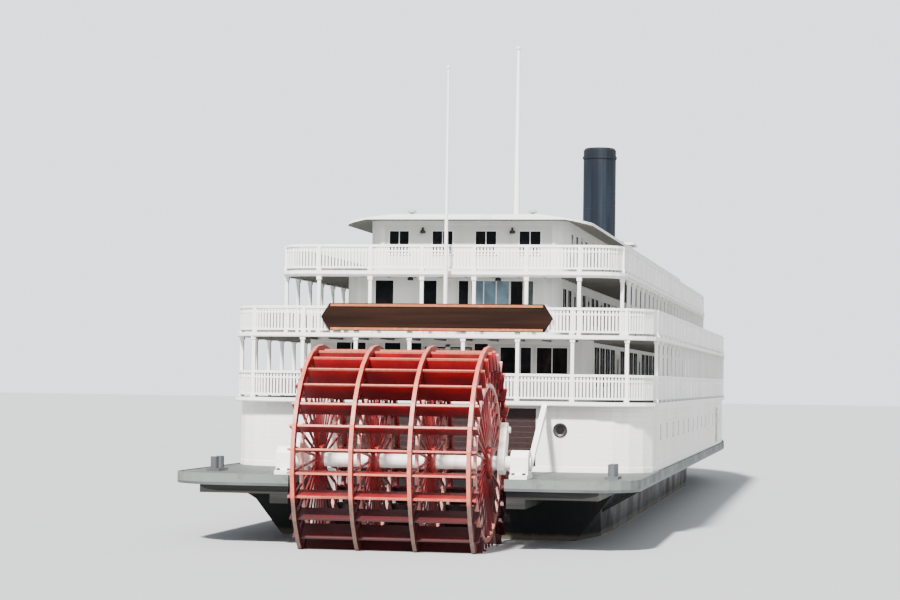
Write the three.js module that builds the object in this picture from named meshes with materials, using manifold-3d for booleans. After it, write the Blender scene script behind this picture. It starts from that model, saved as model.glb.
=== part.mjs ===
// Sternwheel paddle boat as a 1:10 scale model: a flat-bottomed steel hull with wide guards, four
// decks with their houses, rails and posts, a pilothouse, a stack, and a paddle wheel astern.
// +X is towards the bow, +Y to port, +Z up. The origin is amidships on the flat of the bottom.
// Every length below is in metres of the full-size boat, and MODEL_MM turns it into millimetres.
import * as THREE from "three";
import { mergeVertices } from "three/addons/utils/BufferGeometryUtils.js";
import Module from "manifold-3d";

const wasm = await Module();
wasm.setup();

// Scale and running gaps
const MODEL_MM = 100; // millimetres of the model for one metre of the boat
const GAP = 0.003; // between pieces that bear on each other without being one
const WELD = 1e-5; // distance under which two vertices are one

// Hull and main deck
const STEM_X = 43.45;
const STEM_HALF = 0.15;
const HALF_BEAM = 8.84;
const SHOULDER_X = 16; // where the sides start to draw in towards the bow
const BOW_POWER = 2.4;
const FRONT_POWER = 2.6; // the rounder front of the upper decks and houses
const TRANSOM_X = -34.2;
const DECK_UNDER_Z = 4.05;
const MAIN_Z = 4.35;
const WING_AFT_X = -40.6;
const RECESS_X = -34.47;
const RECESS_HALF = 4.05;

// Upper decks: height of each walking surface, and the thickness of its plate
const SALOON_Z = 7.17;
const CABIN_Z = 9.83;
const UPPER_Z = 12.49;
const ROOF_Z = 15.15;
const PLATE = 0.14;
const ROOF_PLATE = 0.22;

// Walls, rails and posts
const WALL = 0.15;
const RAIL_HEIGHT = 1.1;
const RAIL_DEPTH = 0.1;
const RAIL_WIDTH = 0.12;
const RAIL_INSET = 0.08;
const POST = 0.14;
const POST_SPACING = 2.2;
const STERN_POSTS = 5; // after these, only every second post is carried on the rail

// Paddle wheel
const WHEEL_R = 4.335;
const BUCKETS = 30;
const FIRST_ANGLE = 5; // degrees from straight ahead, upwards
const WHEEL_X = WHEEL_R * Math.cos(THREE.MathUtils.degToRad(FIRST_ANGLE)) - STEM_X; // aft-most at -STEM_X
const WHEEL_Z = 4.915;
const WHEEL_HALF = 3.43;
const FRAME_YS = [-3.2, -1.07, 1.07, 3.2];
const BUCKET_DEPTH = 0.9;
const BUCKET_THICK = 0.07;
const RIM_DEPTH = 0.3;
const RIM_PROUD = 0.17; // how far the rims stand beyond the buckets
const RIM_WIDTH = 0.14;
const ARM_WIDTH = 0.08;
const ARM_THICK = 0.08;
const BAND_R = 2.95; // inner ring that ties the arms of a frame together
const BAND_DEPTH = 0.14;
const HUB_R = 0.6;
const HUB_WIDTH = 0.22;
const SHAFT_R = 0.26;
const SHAFT_HALF = 4.85;
const SHAFT_SIDES = 24;
const BEARING_Y = 4.45;

// Outlines in plan: aft edge, stern corner along and across, half beam, shoulder and foremost point
const MAIN_HOUSE = { aft: -32.35, corner: [2.3, 2.3], half: 8.7, shoulder: SHOULDER_X, bow: 33 };
const SALOON_DECK = { aft: -32.85, corner: [2.3, 2.3], half: HALF_BEAM, shoulder: SHOULDER_X, bow: 34.4 };
const SALOON_HOUSE = { aft: -30, corner: [0.6, 0.6], half: 6, shoulder: 22, bow: 30.8 };
const CABIN_DECK = { aft: -32.85, corner: [2.3, 2.3], half: HALF_BEAM, shoulder: SHOULDER_X, bow: 33.8 };
const CABIN_HOUSE = { aft: -29.3, corner: [0.6, 0.6], half: 4.55, shoulder: 24, bow: 30.4 };
const UPPER_DECK = { aft: -30.4, corner: [1.6, 1.4], half: 7.35, shoulder: 20, bow: 33.2 };
const UPPER_HOUSE = { aft: -25.5, corner: [0.6, 0.6], half: 4.38, shoulder: 24, bow: 30.6 };
const ROOF = { aft: -26.4, corner: [1.4, 1.2], half: 5.45, shoulder: 25, bow: 33 };

const material = (color, roughness, metalness = 0) =>
  new THREE.MeshStandardMaterial({ color, roughness, metalness });
const PAINT = {
  white: material(0xece8df, 0.5),
  hull: material(0x15191b, 0.45),
  guard: material(0x9fa3a2, 0.7),
  deck: material(0x6d7471, 0.85),
  red: material(0xc81f1c, 0.5),
  stack: material(0x232c36, 0.4, 0.3),
  sign: material(0x3d2416, 0.6),
  iron: material(0x1f2224, 0.5, 0.6),
  door: material(0xb8b4a8, 0.5),
};

const boat = new THREE.Group();

// A closed geometry as a solid that can be joined and cut.
function solid(geometry) {
  const bare = new THREE.BufferGeometry();
  bare.setAttribute("position", geometry.getAttribute("position"));
  if (geometry.index) bare.setIndex(geometry.index);
  const merged = mergeVertices(bare, WELD);
  return new wasm.Manifold(
    new wasm.Mesh({
      numProp: 3,
      vertProperties: new Float32Array(merged.attributes.position.array),
      triVerts: new Uint32Array(merged.index.array),
    }),
  );
}

const join = (pieces) => pieces.reduce((whole, piece) => whole.add(piece));

// Names a solid as one piece of the boat, placed at a point and turned about the vertical.
function add(name, piece, paint, place = [0, 0, 0], turn = 0) {
  const mesh = piece.getMesh();
  const geometry = new THREE.BufferGeometry();
  geometry.setAttribute("position", new THREE.BufferAttribute(mesh.vertProperties, 3));
  geometry.setIndex(new THREE.BufferAttribute(mesh.triVerts, 1));
  geometry.scale(MODEL_MM, MODEL_MM, MODEL_MM);
  geometry.computeVertexNormals();
  const part = new THREE.Mesh(geometry, paint);
  part.name = name;
  part.position.set(...place).multiplyScalar(MODEL_MM);
  part.rotation.z = turn;
  boat.add(part);
}

// A box between two corners.
function box(x0, x1, y0, y1, z0, z1) {
  const geometry = new THREE.BoxGeometry(x1 - x0, y1 - y0, z1 - z0);
  return solid(geometry.translate((x0 + x1) / 2, (y0 + y1) / 2, (z0 + z1) / 2));
}

// A flat outline, drawn in x and y, made thick along z.
function extruded(points, depth) {
  const shape = new THREE.Shape(points.map(([x, y]) => new THREE.Vector2(x, y)));
  return new THREE.ExtrudeGeometry(shape, { depth, bevelEnabled: false });
}

// A flat outline in plan, made thick from z0 to z1, less the outline of a hole.
function slab(points, z0, z1, hole = null) {
  const whole = solid(extruded(points, z1 - z0).translate(0, 0, z0));
  return hole ? whole.subtract(slab(hole, z0 - 1, z1 + 1)) : whole;
}

// An outline in side view, x and z, made thick from y0 to y1, less the outline of a hole.
function profile(points, y0, y1, hole = null) {
  const geometry = extruded(points, y1 - y0).rotateX(Math.PI / 2);
  const whole = solid(geometry.translate(0, y1, 0));
  return hole ? whole.subtract(profile(hole, y0 - 1, y1 + 1)) : whole;
}

// An outline in end view, y and z, made thick from x0 to x1.
function crosswise(points, x0, x1) {
  const standing = new THREE.Matrix4().makeBasis(
    new THREE.Vector3(0, 1, 0),
    new THREE.Vector3(0, 0, 1),
    new THREE.Vector3(1, 0, 0),
  );
  return solid(extruded(points, x1 - x0).applyMatrix4(standing).translate(x0, 0, 0));
}

// A body of revolution about an upright axis, from radius and height pairs that start and end on it.
function turned(profilePoints, sides) {
  const points = profilePoints.map(([r, z]) => new THREE.Vector2(r, z));
  return solid(new THREE.LatheGeometry(points, sides).rotateX(Math.PI / 2));
}

// A regular ring of points about a centre in side view.
function circle(radius, sides, startDegrees = 0, cx = 0, cz = 0) {
  return Array.from({ length: sides }, (unused, k) => {
    const angle = THREE.MathUtils.degToRad(startDegrees + (360 / sides) * k);
    return [cx + radius * Math.cos(angle), cz + radius * Math.sin(angle)];
  });
}

// The port edge of a deck or house in plan, from its stern corner to its foremost point.
function portEdge({ aft, corner, half, shoulder, bow }, inset = 0) {
  const cornerSteps = 5;
  const frontSteps = 9;
  const [along, across] = corner.map((size) => size - inset);
  const y = half - inset;
  const edge = [];
  for (let k = 0; k <= cornerSteps; k++) {
    const a = ((Math.PI / 2) * k) / cornerSteps;
    edge.push([aft + inset + along * (1 - Math.cos(a)), y - across * (1 - Math.sin(a))]);
  }
  for (let k = 0; k <= frontSteps; k++) {
    const a = ((Math.PI / 2) * k) / frontSteps;
    const reach = Math.sin(a) ** (2 / FRONT_POWER);
    edge.push([shoulder + (bow - inset - shoulder) * reach, y * Math.cos(a)]);
  }
  edge[edge.length - 1][1] = 0;
  return edge;
}

// The port edge of the hull's guard and the main deck, from the shoulder to the stem.
function guardEdge(inset = 0) {
  const steps = 9;
  return Array.from({ length: steps + 1 }, (unused, k) => {
    const t = k / steps;
    const x = SHOULDER_X + (STEM_X - inset - SHOULDER_X) * t;
    return [x, Math.max((HALF_BEAM - inset) * (1 - t ** BOW_POWER), STEM_HALF - inset / 2)];
  });
}

// A port edge and its mirror image to starboard, as one closed outline.
function bothSides(edge) {
  const starboard = edge
    .filter(([, y]) => y > 0)
    .map(([x, y]) => [x, -y])
    .reverse();
  return [...edge, ...starboard];
}

const outline = (spec, inset = 0) => bothSides(portEdge(spec, inset));

// An upright band that follows an outline: a wall, a rail or a bulwark.
const band = (spec, inset, width, z0, z1) =>
  slab(outline(spec, inset), z0, z1, outline(spec, inset + width));

// The part of a solid to one side of the centreline.
const FAR = 60;
const portHalf = (piece) => piece.intersect(box(-FAR, FAR, 0, FAR, -1, FAR));

// A piece on the port side, and its mirror image to starboard.
function addPair(name, piece, paint, place = [0, 0, 0]) {
  const [x, y, z] = place;
  add(name + "_port", piece, paint, place);
  add(name + "_starboard", piece.mirror([0, 1, 0]), paint, [x, -y, z]);
}

// Hull, lofted through its sections
const HULL_SECTIONS = [
  // x, then half width and height of the flat bottom, the bilge and the knee, and half width at the deck
  { x: TRANSOM_X, flat: [5.3, 1.7], bilge: [5.95, 1.8], knee: [6.9, 3], deck: 7.7 },
  { x: -29.4, flat: [5.8, 0.82], bilge: [6.4, 1.25], knee: [6.75, 2.95], deck: 7.9 },
  { x: -24.3, flat: [6, 0], bilge: [6.6, 0.5], knee: [6.7, 2.9], deck: 8 },
  { x: SHOULDER_X, flat: [6, 0], bilge: [6.6, 0.5], knee: [6.7, 2.9], deck: 8 },
  { x: 22.1, flat: [5.2, 0], bilge: [5.8, 0.5], knee: [6.2, 2.9], deck: 7.9 },
  { x: 28.2, flat: [3.8, 0], bilge: [4.5, 0.5], knee: [5.2, 2.9], deck: 7 },
  { x: 34.3, flat: [2.1, 0], bilge: [2.8, 0.5], knee: [3.6, 2.9], deck: 5.1 },
  { x: 38.8, flat: [0.9, 0], bilge: [1.3, 0.5], knee: [1.9, 2.9], deck: 2.9 },
  { x: 41.6, flat: [0.3, 0], bilge: [0.5, 0.5], knee: [0.8, 2.9], deck: 1.3 },
  { x: STEM_X, flat: [0.1, 0], bilge: [0.12, 0.5], knee: [0.14, 2.9], deck: STEM_HALF },
];

function hullSection({ x, flat, bilge, knee, deck }) {
  const port = [flat, bilge, knee, [deck, DECK_UNDER_Z]];
  const starboard = port.map(([y, z]) => [-y, z]).reverse();
  return [...port, ...starboard].map(([y, z]) => new THREE.Vector3(x, y, z));
}

function loft(sections) {
  const ring = sections[0].length;
  const last = (sections.length - 1) * ring;
  const triangles = [];
  for (let i = 0; i + 1 < sections.length; i++)
    for (let j = 0; j < ring; j++) {
      const next = (j + 1) % ring;
      const a = i * ring + j;
      const b = i * ring + next;
      triangles.push(a, b + ring, a + ring, a, b, b + ring);
    }
  const cap = (section) =>
    THREE.ShapeUtils.triangulateShape(
      section.map(({ y, z }) => new THREE.Vector2(y, z)),
      [],
    );
  for (const [a, b, c] of cap(sections[0])) triangles.push(a, c, b);
  for (const [a, b, c] of cap(sections.at(-1))) triangles.push(last + a, last + b, last + c);
  const geometry = new THREE.BufferGeometry().setFromPoints(sections.flat());
  return solid(geometry.setIndex(triangles));
}

// Rudders under the raked stern
const RUDDER_X = -32.1;
const RUDDERS = [
  { name: "rudder_port", y: 3.2 },
  { name: "rudder_middle", y: 0 },
  { name: "rudder_starboard", y: -3.2 },
];
const RUDDER = { fore: 1.1, aft: 2.2, thick: 0.14, low: 0.15, high: 1.05, stockR: 0.12, into: 2.3 };
const STOCK_SIDES = 12;

function uprightCylinder(r, z0, z1, sides) {
  return turned(
    [
      [0, z0],
      [r, z0],
      [r, z1],
      [0, z1],
    ],
    sides,
  );
}

function makeHull() {
  let hull = loft(HULL_SECTIONS.map(hullSection));
  const boreR = (RUDDER.stockR + GAP) / Math.cos(Math.PI / STOCK_SIDES);
  const bore = uprightCylinder(boreR, 0, RUDDER.into + 0.05, STOCK_SIDES);
  for (const { y } of RUDDERS) hull = hull.subtract(bore.translate([RUDDER_X, y, 0]));
  add("hull", hull, PAINT.hull);
}

function makeRudders() {
  const { fore, aft, thick, low, high, stockR, into } = RUDDER;
  const blade = slab(
    [
      [fore, -thick / 4],
      [fore, thick / 4],
      [0, thick / 2],
      [-aft, thick / 4],
      [-aft, -thick / 4],
      [0, -thick / 2],
    ],
    low,
    high,
  );
  const rudder = join([blade, uprightCylinder(stockR, low, into, STOCK_SIDES)]);
  for (const { name, y } of RUDDERS) add(name, rudder, PAINT.hull, [RUDDER_X, y, 0]);
}

// Main deck: one plate with a wing on each side of the wheel
const WING_CORNER = 2;
function makeMainDeck() {
  const port = [
    [RECESS_X, RECESS_HALF],
    [WING_AFT_X, RECESS_HALF],
  ];
  const steps = 6;
  for (let k = 0; k <= steps; k++) {
    const a = ((Math.PI / 2) * k) / steps;
    port.push([
      WING_AFT_X + WING_CORNER * (1 - Math.cos(a)),
      HALF_BEAM - WING_CORNER * (1 - Math.sin(a)),
    ]);
  }
  port.push(...guardEdge());
  add("main_deck", slab(bothSides(port), DECK_UNDER_Z, MAIN_Z), PAINT.guard);
}

// The beam across the transom, under the edge of the wheel's recess
const STERN_BEAM_LOW = 3.6;
function makeSternBeam() {
  const beam = box(RECESS_X, TRANSOM_X, -RECESS_HALF, RECESS_HALF, STERN_BEAM_LOW, DECK_UNDER_Z);
  add("stern_beam", beam, PAINT.guard);
}

// Timbers that carry each wing: an inner beam under the wheel's bearing, an outer one, and three across
const TIMBER = {
  inset: 0.2,
  inner: 4.1,
  innerTo: 4.8,
  outer: 7,
  outerTo: 7.5,
  low: 3.3,
  high: 3.65,
  cross: 0.4,
};
const CROSS_XS = [-40.2, WHEEL_X, -36.6];
function makeTimbers() {
  const { inset, inner, innerTo, outer, outerTo, low, high, cross } = TIMBER;
  const pieces = [
    box(WING_AFT_X + inset, TRANSOM_X, inner, innerTo, low, DECK_UNDER_Z),
    box(WING_AFT_X + inset, TRANSOM_X, outer, outerTo, high, DECK_UNDER_Z),
    ...CROSS_XS.map((x) => box(x - cross / 2, x + cross / 2, inner, outerTo, high, DECK_UNDER_Z)),
  ];
  addPair("wing_timbers", join(pieces), PAINT.hull);
}

// A bearing for the wheel's shaft and a strut on each wing
const BLOCK = { foot: 0.75, head: 0.5, half: 0.33, footZ: 0.16, crownZ: 0.48 };
const STRUT = { half: 0.1, deep: 0.24, topZ: 7.05, footX: -37.6 };
function makeWingFittings() {
  const { foot, head, half, footZ, crownZ } = BLOCK;
  const bore = circle((SHAFT_R + GAP) / Math.cos(Math.PI / SHAFT_SIDES), SHAFT_SIDES);
  const block = profile(
    [
      [-foot, MAIN_Z - WHEEL_Z],
      [foot, MAIN_Z - WHEEL_Z],
      [foot, MAIN_Z - WHEEL_Z + footZ],
      [head, MAIN_Z - WHEEL_Z + footZ],
      [head, crownZ / 2],
      [crownZ / 2, crownZ],
      [-crownZ / 2, crownZ],
      [-head, crownZ / 2],
      [-head, MAIN_Z - WHEEL_Z + footZ],
      [-foot, MAIN_Z - WHEEL_Z + footZ],
    ],
    -half,
    half,
    bore,
  );
  addPair("pillow_block", block, PAINT.white, [WHEEL_X, BEARING_Y, WHEEL_Z]);

  const edgeX = SALOON_DECK.aft;
  const strut = profile(
    [
      [edgeX, STRUT.topZ],
      [edgeX, STRUT.topZ - 1.6 * STRUT.deep],
      [STRUT.footX + STRUT.deep, MAIN_Z],
      [STRUT.footX, MAIN_Z],
    ],
    BEARING_Y - STRUT.half,
    BEARING_Y + STRUT.half,
  );
  addPair("wheel_strut", strut, PAINT.white);
}

// Paddle wheel, about its own shaft
const bucketAngles = Array.from({ length: BUCKETS }, (unused, k) =>
  THREE.MathUtils.degToRad(FIRST_ANGLE + (360 / BUCKETS) * k),
);

function ring(outer, depth, y, width) {
  const edge = circle(outer, BUCKETS, FIRST_ANGLE);
  const inner = circle(outer - depth, BUCKETS, FIRST_ANGLE);
  return profile(edge, y - width / 2, y + width / 2, inner);
}

function makeWheel() {
  const centre = [WHEEL_X, 0, WHEEL_Z];
  const rims = FRAME_YS.map((y) => ring(WHEEL_R, RIM_DEPTH, y, RIM_WIDTH));
  const bucket = (angle) => {
    const outer = WHEEL_R - RIM_PROUD;
    const inner = WHEEL_R - BUCKET_DEPTH;
    const board = new THREE.BoxGeometry(outer - inner, 2 * WHEEL_HALF, BUCKET_THICK);
    return solid(board.translate((outer + inner) / 2, 0, 0).rotateY(-angle));
  };
  add("wheel_buckets", join([...rims, ...bucketAngles.map(bucket)]), PAINT.red, centre);

  FRAME_YS.forEach((y, k) => {
    add("wheel_frame_" + (k + 1), wheelFrame(y), PAINT.red, centre);
  });

  const shaft = profile(circle(SHAFT_R, SHAFT_SIDES), -SHAFT_HALF, SHAFT_HALF);
  add("wheel_shaft", join([shaft, ...CRANKS.map(crank)]), PAINT.white, centre);
}

// One frame of the wheel: arms that stand behind the buckets, tied by a hub and an inner ring.
function wheelFrame(y) {
  const tip = WHEEL_R - RIM_DEPTH - 0.022;
  const near = -(BUCKET_THICK / 2 + GAP);
  const far = near - ARM_THICK;
  const edge = [];
  for (const angle of bucketAngles) {
    const at = (radial, across) => [
      radial * Math.cos(angle) - across * Math.sin(angle),
      radial * Math.sin(angle) + across * Math.cos(angle),
    ];
    const foot = (across) => Math.sqrt(HUB_R ** 2 - across ** 2);
    edge.push(at(foot(far), far), at(tip, far), at(tip, near), at(foot(near), near));
  }
  const arms = profile(edge, y - ARM_WIDTH / 2, y + ARM_WIDTH / 2);
  const hub = profile(circle(HUB_R, BUCKETS), y - HUB_WIDTH / 2, y + HUB_WIDTH / 2);
  const bore = circle((SHAFT_R + GAP) / Math.cos(Math.PI / SHAFT_SIDES), SHAFT_SIDES);
  const hole = profile(bore, y - HUB_WIDTH, y + HUB_WIDTH);
  return join([arms, hub, ring(BAND_R, BAND_DEPTH, y, 1.6 * ARM_WIDTH)]).subtract(hole);
}

// A crank near each end of the shaft, a quarter turn apart, with the stub of its pin
const CRANK = { from: 3.62, thick: 0.24, reach: 1.35, root: 0.44, eye: 0.27, pin: 0.12, pinTo: 3.96 };
const CRANKS = [
  // side of the centreline, degrees from straight ahead, upwards
  { side: 1, degrees: 155 },
  { side: -1, degrees: 65 },
];
function crank({ side, degrees }) {
  const { from, thick, reach, root, eye, pin, pinTo } = CRANK;
  const angle = THREE.MathUtils.degToRad(degrees);
  const end = [reach * Math.cos(angle), reach * Math.sin(angle)];
  const steps = 6;
  const arc = (radius, centre, start) =>
    Array.from({ length: steps + 1 }, (unused, k) => {
      const a = start + (Math.PI * k) / steps;
      return [centre[0] + radius * Math.cos(a), centre[1] + radius * Math.sin(a)];
    });
  const web = [...arc(eye, end, angle - Math.PI / 2), ...arc(root, [0, 0], angle + Math.PI / 2)];
  const span = (a, b) => (side > 0 ? [a, b] : [-b, -a]);
  return join([
    profile(web, ...span(from, from + thick)),
    profile(circle(pin, STOCK_SIDES, 0, ...end), ...span(from, pinTo)),
  ]);
}

// Roof: flat over the house, and falling away towards its edges
const CAMBER = { flat: 3.3, drop: 0.3, edge: 0.12 };
function makeRoof() {
  const { flat, drop, edge } = CAMBER;
  const { aft, half, bow } = ROOF;
  const port = [
    [flat, ROOF_Z],
    [half, ROOF_Z - drop],
    [half, ROOF_Z - drop - edge],
    [UPPER_HOUSE.half, ROOF_Z - ROOF_PLATE],
  ];
  const starboard = port.map(([y, z]) => [-y, z]).reverse();
  const section = crosswise([...starboard, ...port], aft - 1, bow + 1);
  add("roof", slab(outline(ROOF), ROOF_Z - 1, ROOF_Z + 1).intersect(section), PAINT.white);
}

// Decks above the main deck
function makeUpperDecks() {
  for (const [name, spec, top] of [
    ["saloon_deck", SALOON_DECK, SALOON_Z],
    ["cabin_deck", CABIN_DECK, CABIN_Z],
    ["upper_deck", UPPER_DECK, UPPER_Z],
  ])
    add(name, slab(outline(spec), top - PLATE, top), PAINT.deck);
}

// Points at an even spacing along an edge, from its after end, that stay clear of the centreline.
function alongEdge(edge, spacing, clear) {
  const path = new THREE.Path(edge.map(([x, y]) => new THREE.Vector2(x, y)));
  const count = Math.round(path.getLength() / spacing);
  return path
    .getSpacedPoints(count)
    .map(({ x, y }) => [x, y])
    .filter(([, y]) => y > clear);
}

// True where a post at this point would meet the underside of the deck above.
function covered(spec, x, y, half) {
  const edge = portEdge(spec, 0);
  const corners = [
    [x - half, y - half],
    [x - half, y + half],
    [x + half, y + half],
    [x + half, y - half],
  ];
  return corners.every(([cx, cy]) => {
    let inside = false;
    const ring = bothSides(edge);
    ring.forEach(([ax, ay], k) => {
      const [bx, by] = ring[(k + 1) % ring.length];
      if (ay > cy !== by > cy && cx < ax + ((cy - ay) / (by - ay)) * (bx - ax)) inside = !inside;
    });
    return inside;
  });
}

// Rails with their posts, a port and a starboard half on each upper deck
const RAILS = [
  { name: "saloon_rail", spec: SALOON_DECK, floor: SALOON_Z, above: CABIN_DECK, under: CABIN_Z - PLATE },
  { name: "cabin_rail", spec: CABIN_DECK, floor: CABIN_Z, above: null, under: 0 },
  { name: "upper_rail", spec: UPPER_DECK, floor: UPPER_Z, above: null, under: 0 },
];
function makeRails() {
  const half = POST / 2;
  for (const { name, spec, floor, above, under } of RAILS) {
    const top = floor + RAIL_HEIGHT;
    const inset = RAIL_INSET + RAIL_WIDTH / 2;
    const edge = [[spec.aft + inset, POST_SPACING / 2], ...portEdge(spec, inset)];
    const carried = (point, k) => k < STERN_POSTS || k % 2 === 0;
    const posts = alongEdge(edge, POST_SPACING, half).filter(carried).map(([x, y]) => {
      const high = above && covered(above, x, y, half) ? under : top;
      return box(x - half, x + half, y - half, y + half, floor, high);
    });
    const rail = portHalf(band(spec, RAIL_INSET, RAIL_WIDTH, top - RAIL_DEPTH, top));
    addPair(name, join([rail, ...posts]), PAINT.white);
  }
}

// The upper deck is narrower than the rest: posts on the cabin deck carry a beam under its edge.
const EDGE_BEAM = { inset: 0.08, width: 0.14, depth: 0.1 };
function makeUpperPosts() {
  const { inset, width, depth } = EDGE_BEAM;
  const half = POST / 2;
  const under = UPPER_Z - PLATE;
  const line = inset + width / 2;
  const edge = [[UPPER_DECK.aft + line, POST_SPACING / 2], ...portEdge(UPPER_DECK, line)];
  const carried = (point, k) => k < STERN_POSTS || k % 2 === 0;
  const posts = alongEdge(edge, POST_SPACING, half)
    .filter(carried)
    .map(([x, y]) => box(x - half, x + half, y - half, y + half, CABIN_Z, under - depth / 2));
  const beam = portHalf(band(UPPER_DECK, inset, width, under - depth, under));
  addPair("upper_posts", join([beam, ...posts]), PAINT.white);
}

// Doors, each a leaf with two strap hinges, in an opening cut through its wall
const LEAF = 0.1;
const DOOR_GAP = 0.06;
const SILL = 0.08;
const KNUCKLE_R = 0.05;
const DOORS = [
  // wall, foot of the hinge jamb, floor, size of the opening, turn of the wall's outside from +Y, and hand
  {
    name: "boarding_door_port",
    wall: "boarding_wall_port",
    at: [11, MAIN_HOUSE.half],
    floor: MAIN_Z,
    width: 1.9,
    height: 2.15,
    turn: 0,
    hand: 1,
  },
  {
    name: "boarding_door_starboard",
    wall: "boarding_wall_starboard",
    at: [11, -MAIN_HOUSE.half],
    floor: MAIN_Z,
    width: 1.9,
    height: 2.15,
    turn: Math.PI,
    hand: -1,
  },
  {
    name: "saloon_door_port",
    wall: "saloon_stern_wall",
    at: [SALOON_HOUSE.aft, 1],
    floor: SALOON_Z,
    width: 1,
    height: 2.1,
    turn: Math.PI / 2,
    hand: -1,
  },
  {
    name: "saloon_door_starboard",
    wall: "saloon_stern_wall",
    at: [SALOON_HOUSE.aft, -1],
    floor: SALOON_Z,
    width: 1,
    height: 2.1,
    turn: Math.PI / 2,
    hand: 1,
  },
];

// A box in a door's own frame: u from the hinge jamb along the leaf, v outwards from the wall's face.
function leafBox(hand, u0, u1, v0, v1, z0, z1) {
  const [x0, x1] = hand > 0 ? [u0, u1] : [-u1, -u0];
  return box(x0, x1, v0, v1, z0, z1);
}

function doorOpening({ at, floor, width, height, turn, hand }) {
  const degrees = THREE.MathUtils.radToDeg(turn);
  const hole = leafBox(hand, 0, width, -2 * WALL, WALL, floor + SILL, floor + SILL + height);
  return hole.rotate([0, 0, degrees]).translate([...at, 0]);
}

function makeDoor({ name, at, floor, width, height, turn, hand }) {
  const v = KNUCKLE_R + GAP; // the hinge's axis, this far outside the wall's face
  const low = floor + SILL + DOOR_GAP;
  const high = floor + SILL + height - DOOR_GAP;
  const leaf = leafBox(hand, DOOR_GAP, width - DOOR_GAP, -0.13, -0.13 + LEAF, low, high);
  const pieces = [leaf];
  for (const z of [low + 0.35, high - 0.35]) {
    pieces.push(
      uprightCylinder(KNUCKLE_R, z - 0.12, z + 0.12, STOCK_SIDES).translate([0, v, 0]),
      leafBox(hand, 0, 0.55 * width, 0.005, 0.035, z - 0.06, z + 0.06),
      leafBox(hand, 0.1, 0.55 * width, -0.05, 0.02, z - 0.06, z + 0.06),
    );
  }
  add(name, join(pieces), PAINT.door, [...at, 0], turn);
}

// Deck houses, hollow between one deck and the next
const HOUSES = [
  { name: "main_house", spec: MAIN_HOUSE, low: MAIN_Z, high: SALOON_Z - PLATE },
  { name: "saloon_house", spec: SALOON_HOUSE, low: SALOON_Z, high: CABIN_Z - PLATE },
  { name: "cabin_house", spec: CABIN_HOUSE, low: CABIN_Z, high: UPPER_Z - PLATE },
  { name: "upper_house", spec: UPPER_HOUSE, low: UPPER_Z, high: ROOF_Z - ROOF_PLATE },
];

// The saloon's stern wall stands between the rounded corners of its house.
function saloonSternWall() {
  const { aft, half, corner } = SALOON_HOUSE;
  const flat = half - corner[1];
  return box(aft, aft + WALL, -flat, flat, SALOON_Z, CABIN_Z - PLATE);
}

// The boarding walls are the lengths of the main house's sides, below a lintel, that hold its doors.
const BOARDING_WALL = { aft: 4, fore: 15.5, high: 6.7 };
function boardingWall(side) {
  const { aft, fore, high } = BOARDING_WALL;
  const { half } = MAIN_HOUSE;
  const [y0, y1] = side > 0 ? [half - WALL, half] : [-half, -half + WALL];
  return box(aft, fore, y0, y1, MAIN_Z, high);
}

// Walls with doorways, each a piece of its own that fills its place in its house
const DOORWAY_WALLS = [
  { name: "saloon_stern_wall", house: "saloon_house", wall: saloonSternWall() },
  { name: "boarding_wall_port", house: "main_house", wall: boardingWall(1) },
  { name: "boarding_wall_starboard", house: "main_house", wall: boardingWall(-1) },
];

function makeHouses() {
  for (const { name, spec, low, high } of HOUSES) {
    const pieces = DOORWAY_WALLS.filter(({ house }) => house === name);
    const walls = pieces.reduce((rest, { wall }) => rest.subtract(wall), band(spec, 0, WALL, low, high));
    add(name, walls, PAINT.white);
  }
  for (const { name, wall } of DOORWAY_WALLS) {
    const doors = DOORS.filter((door) => door.wall === name);
    const cut = doors.reduce((rest, door) => rest.subtract(doorOpening(door)), wall);
    add(name, cut, PAINT.white);
  }
  DOORS.forEach(makeDoor);
}

// Pilothouse, with windows on every side, and its roof
const PILOT = { aft: 28, fore: 31.4, half: 1.85, chamfer: 0.75, high: 17.25, sill: 0.95, head: 0.35 };
function makePilothouse() {
  const { aft, fore, half, chamfer, high, sill, head } = PILOT;
  const plan = (grow) => [
    [aft - grow, half + grow],
    [fore - chamfer, half + grow],
    [fore + grow, half - chamfer],
    [fore + grow, -half + chamfer],
    [fore - chamfer, -half - grow],
    [aft - grow, -half - grow],
  ];
  let walls = slab(plan(0), ROOF_Z, high, plan(-WALL));
  const low = ROOF_Z + sill;
  const top = high - head;
  const openings = [
    ...[
      [aft + 0.3, aft + 1.3],
      [aft + 1.5, aft + 2.5],
    ].map(([x0, x1]) => box(x0, x1, -half - 1, half + 1, low, top)),
    box(aft - 1, fore + 1, -1, -0.1, low, top),
    box(aft - 1, fore + 1, 0.1, 1, low, top),
  ];
  for (const opening of openings) walls = walls.subtract(opening);
  add("pilothouse", walls, PAINT.white);
  const eaves = slab(plan(0.3), high, high + 0.14);
  const crown = slab(plan(-0.5), high + 0.08, high + 0.28);
  add("pilothouse_roof", join([eaves, crown]), PAINT.white);
}

// Stack on its casing
const STACK = { x: 26.1, r: 1.09, top: 23.55, casing: 1.4, casingTop: 15.95, sides: 24 };
function makeStack() {
  const { x, r, top, casing, casingTop, sides } = STACK;
  add("stack_casing", box(x - casing, x + casing, -casing, casing, ROOF_Z, casingTop), PAINT.white);
  const pipe = turned(
    [
      [0, casingTop],
      [r, casingTop],
      [r, top - 0.72],
      [r + 0.06, top - 0.72],
      [r + 0.06, top - 0.55],
      [r, top - 0.55],
      [r, top - 0.15],
      [r - 0.12, top],
      [r - 0.25, top],
      [r - 0.25, top - 0.3],
      [r - 0.3, top - 0.6],
      [0, top - 0.6],
    ],
    sides,
  );
  add("stack", pipe, PAINT.stack, [x, 0, 0]);
}

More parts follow.
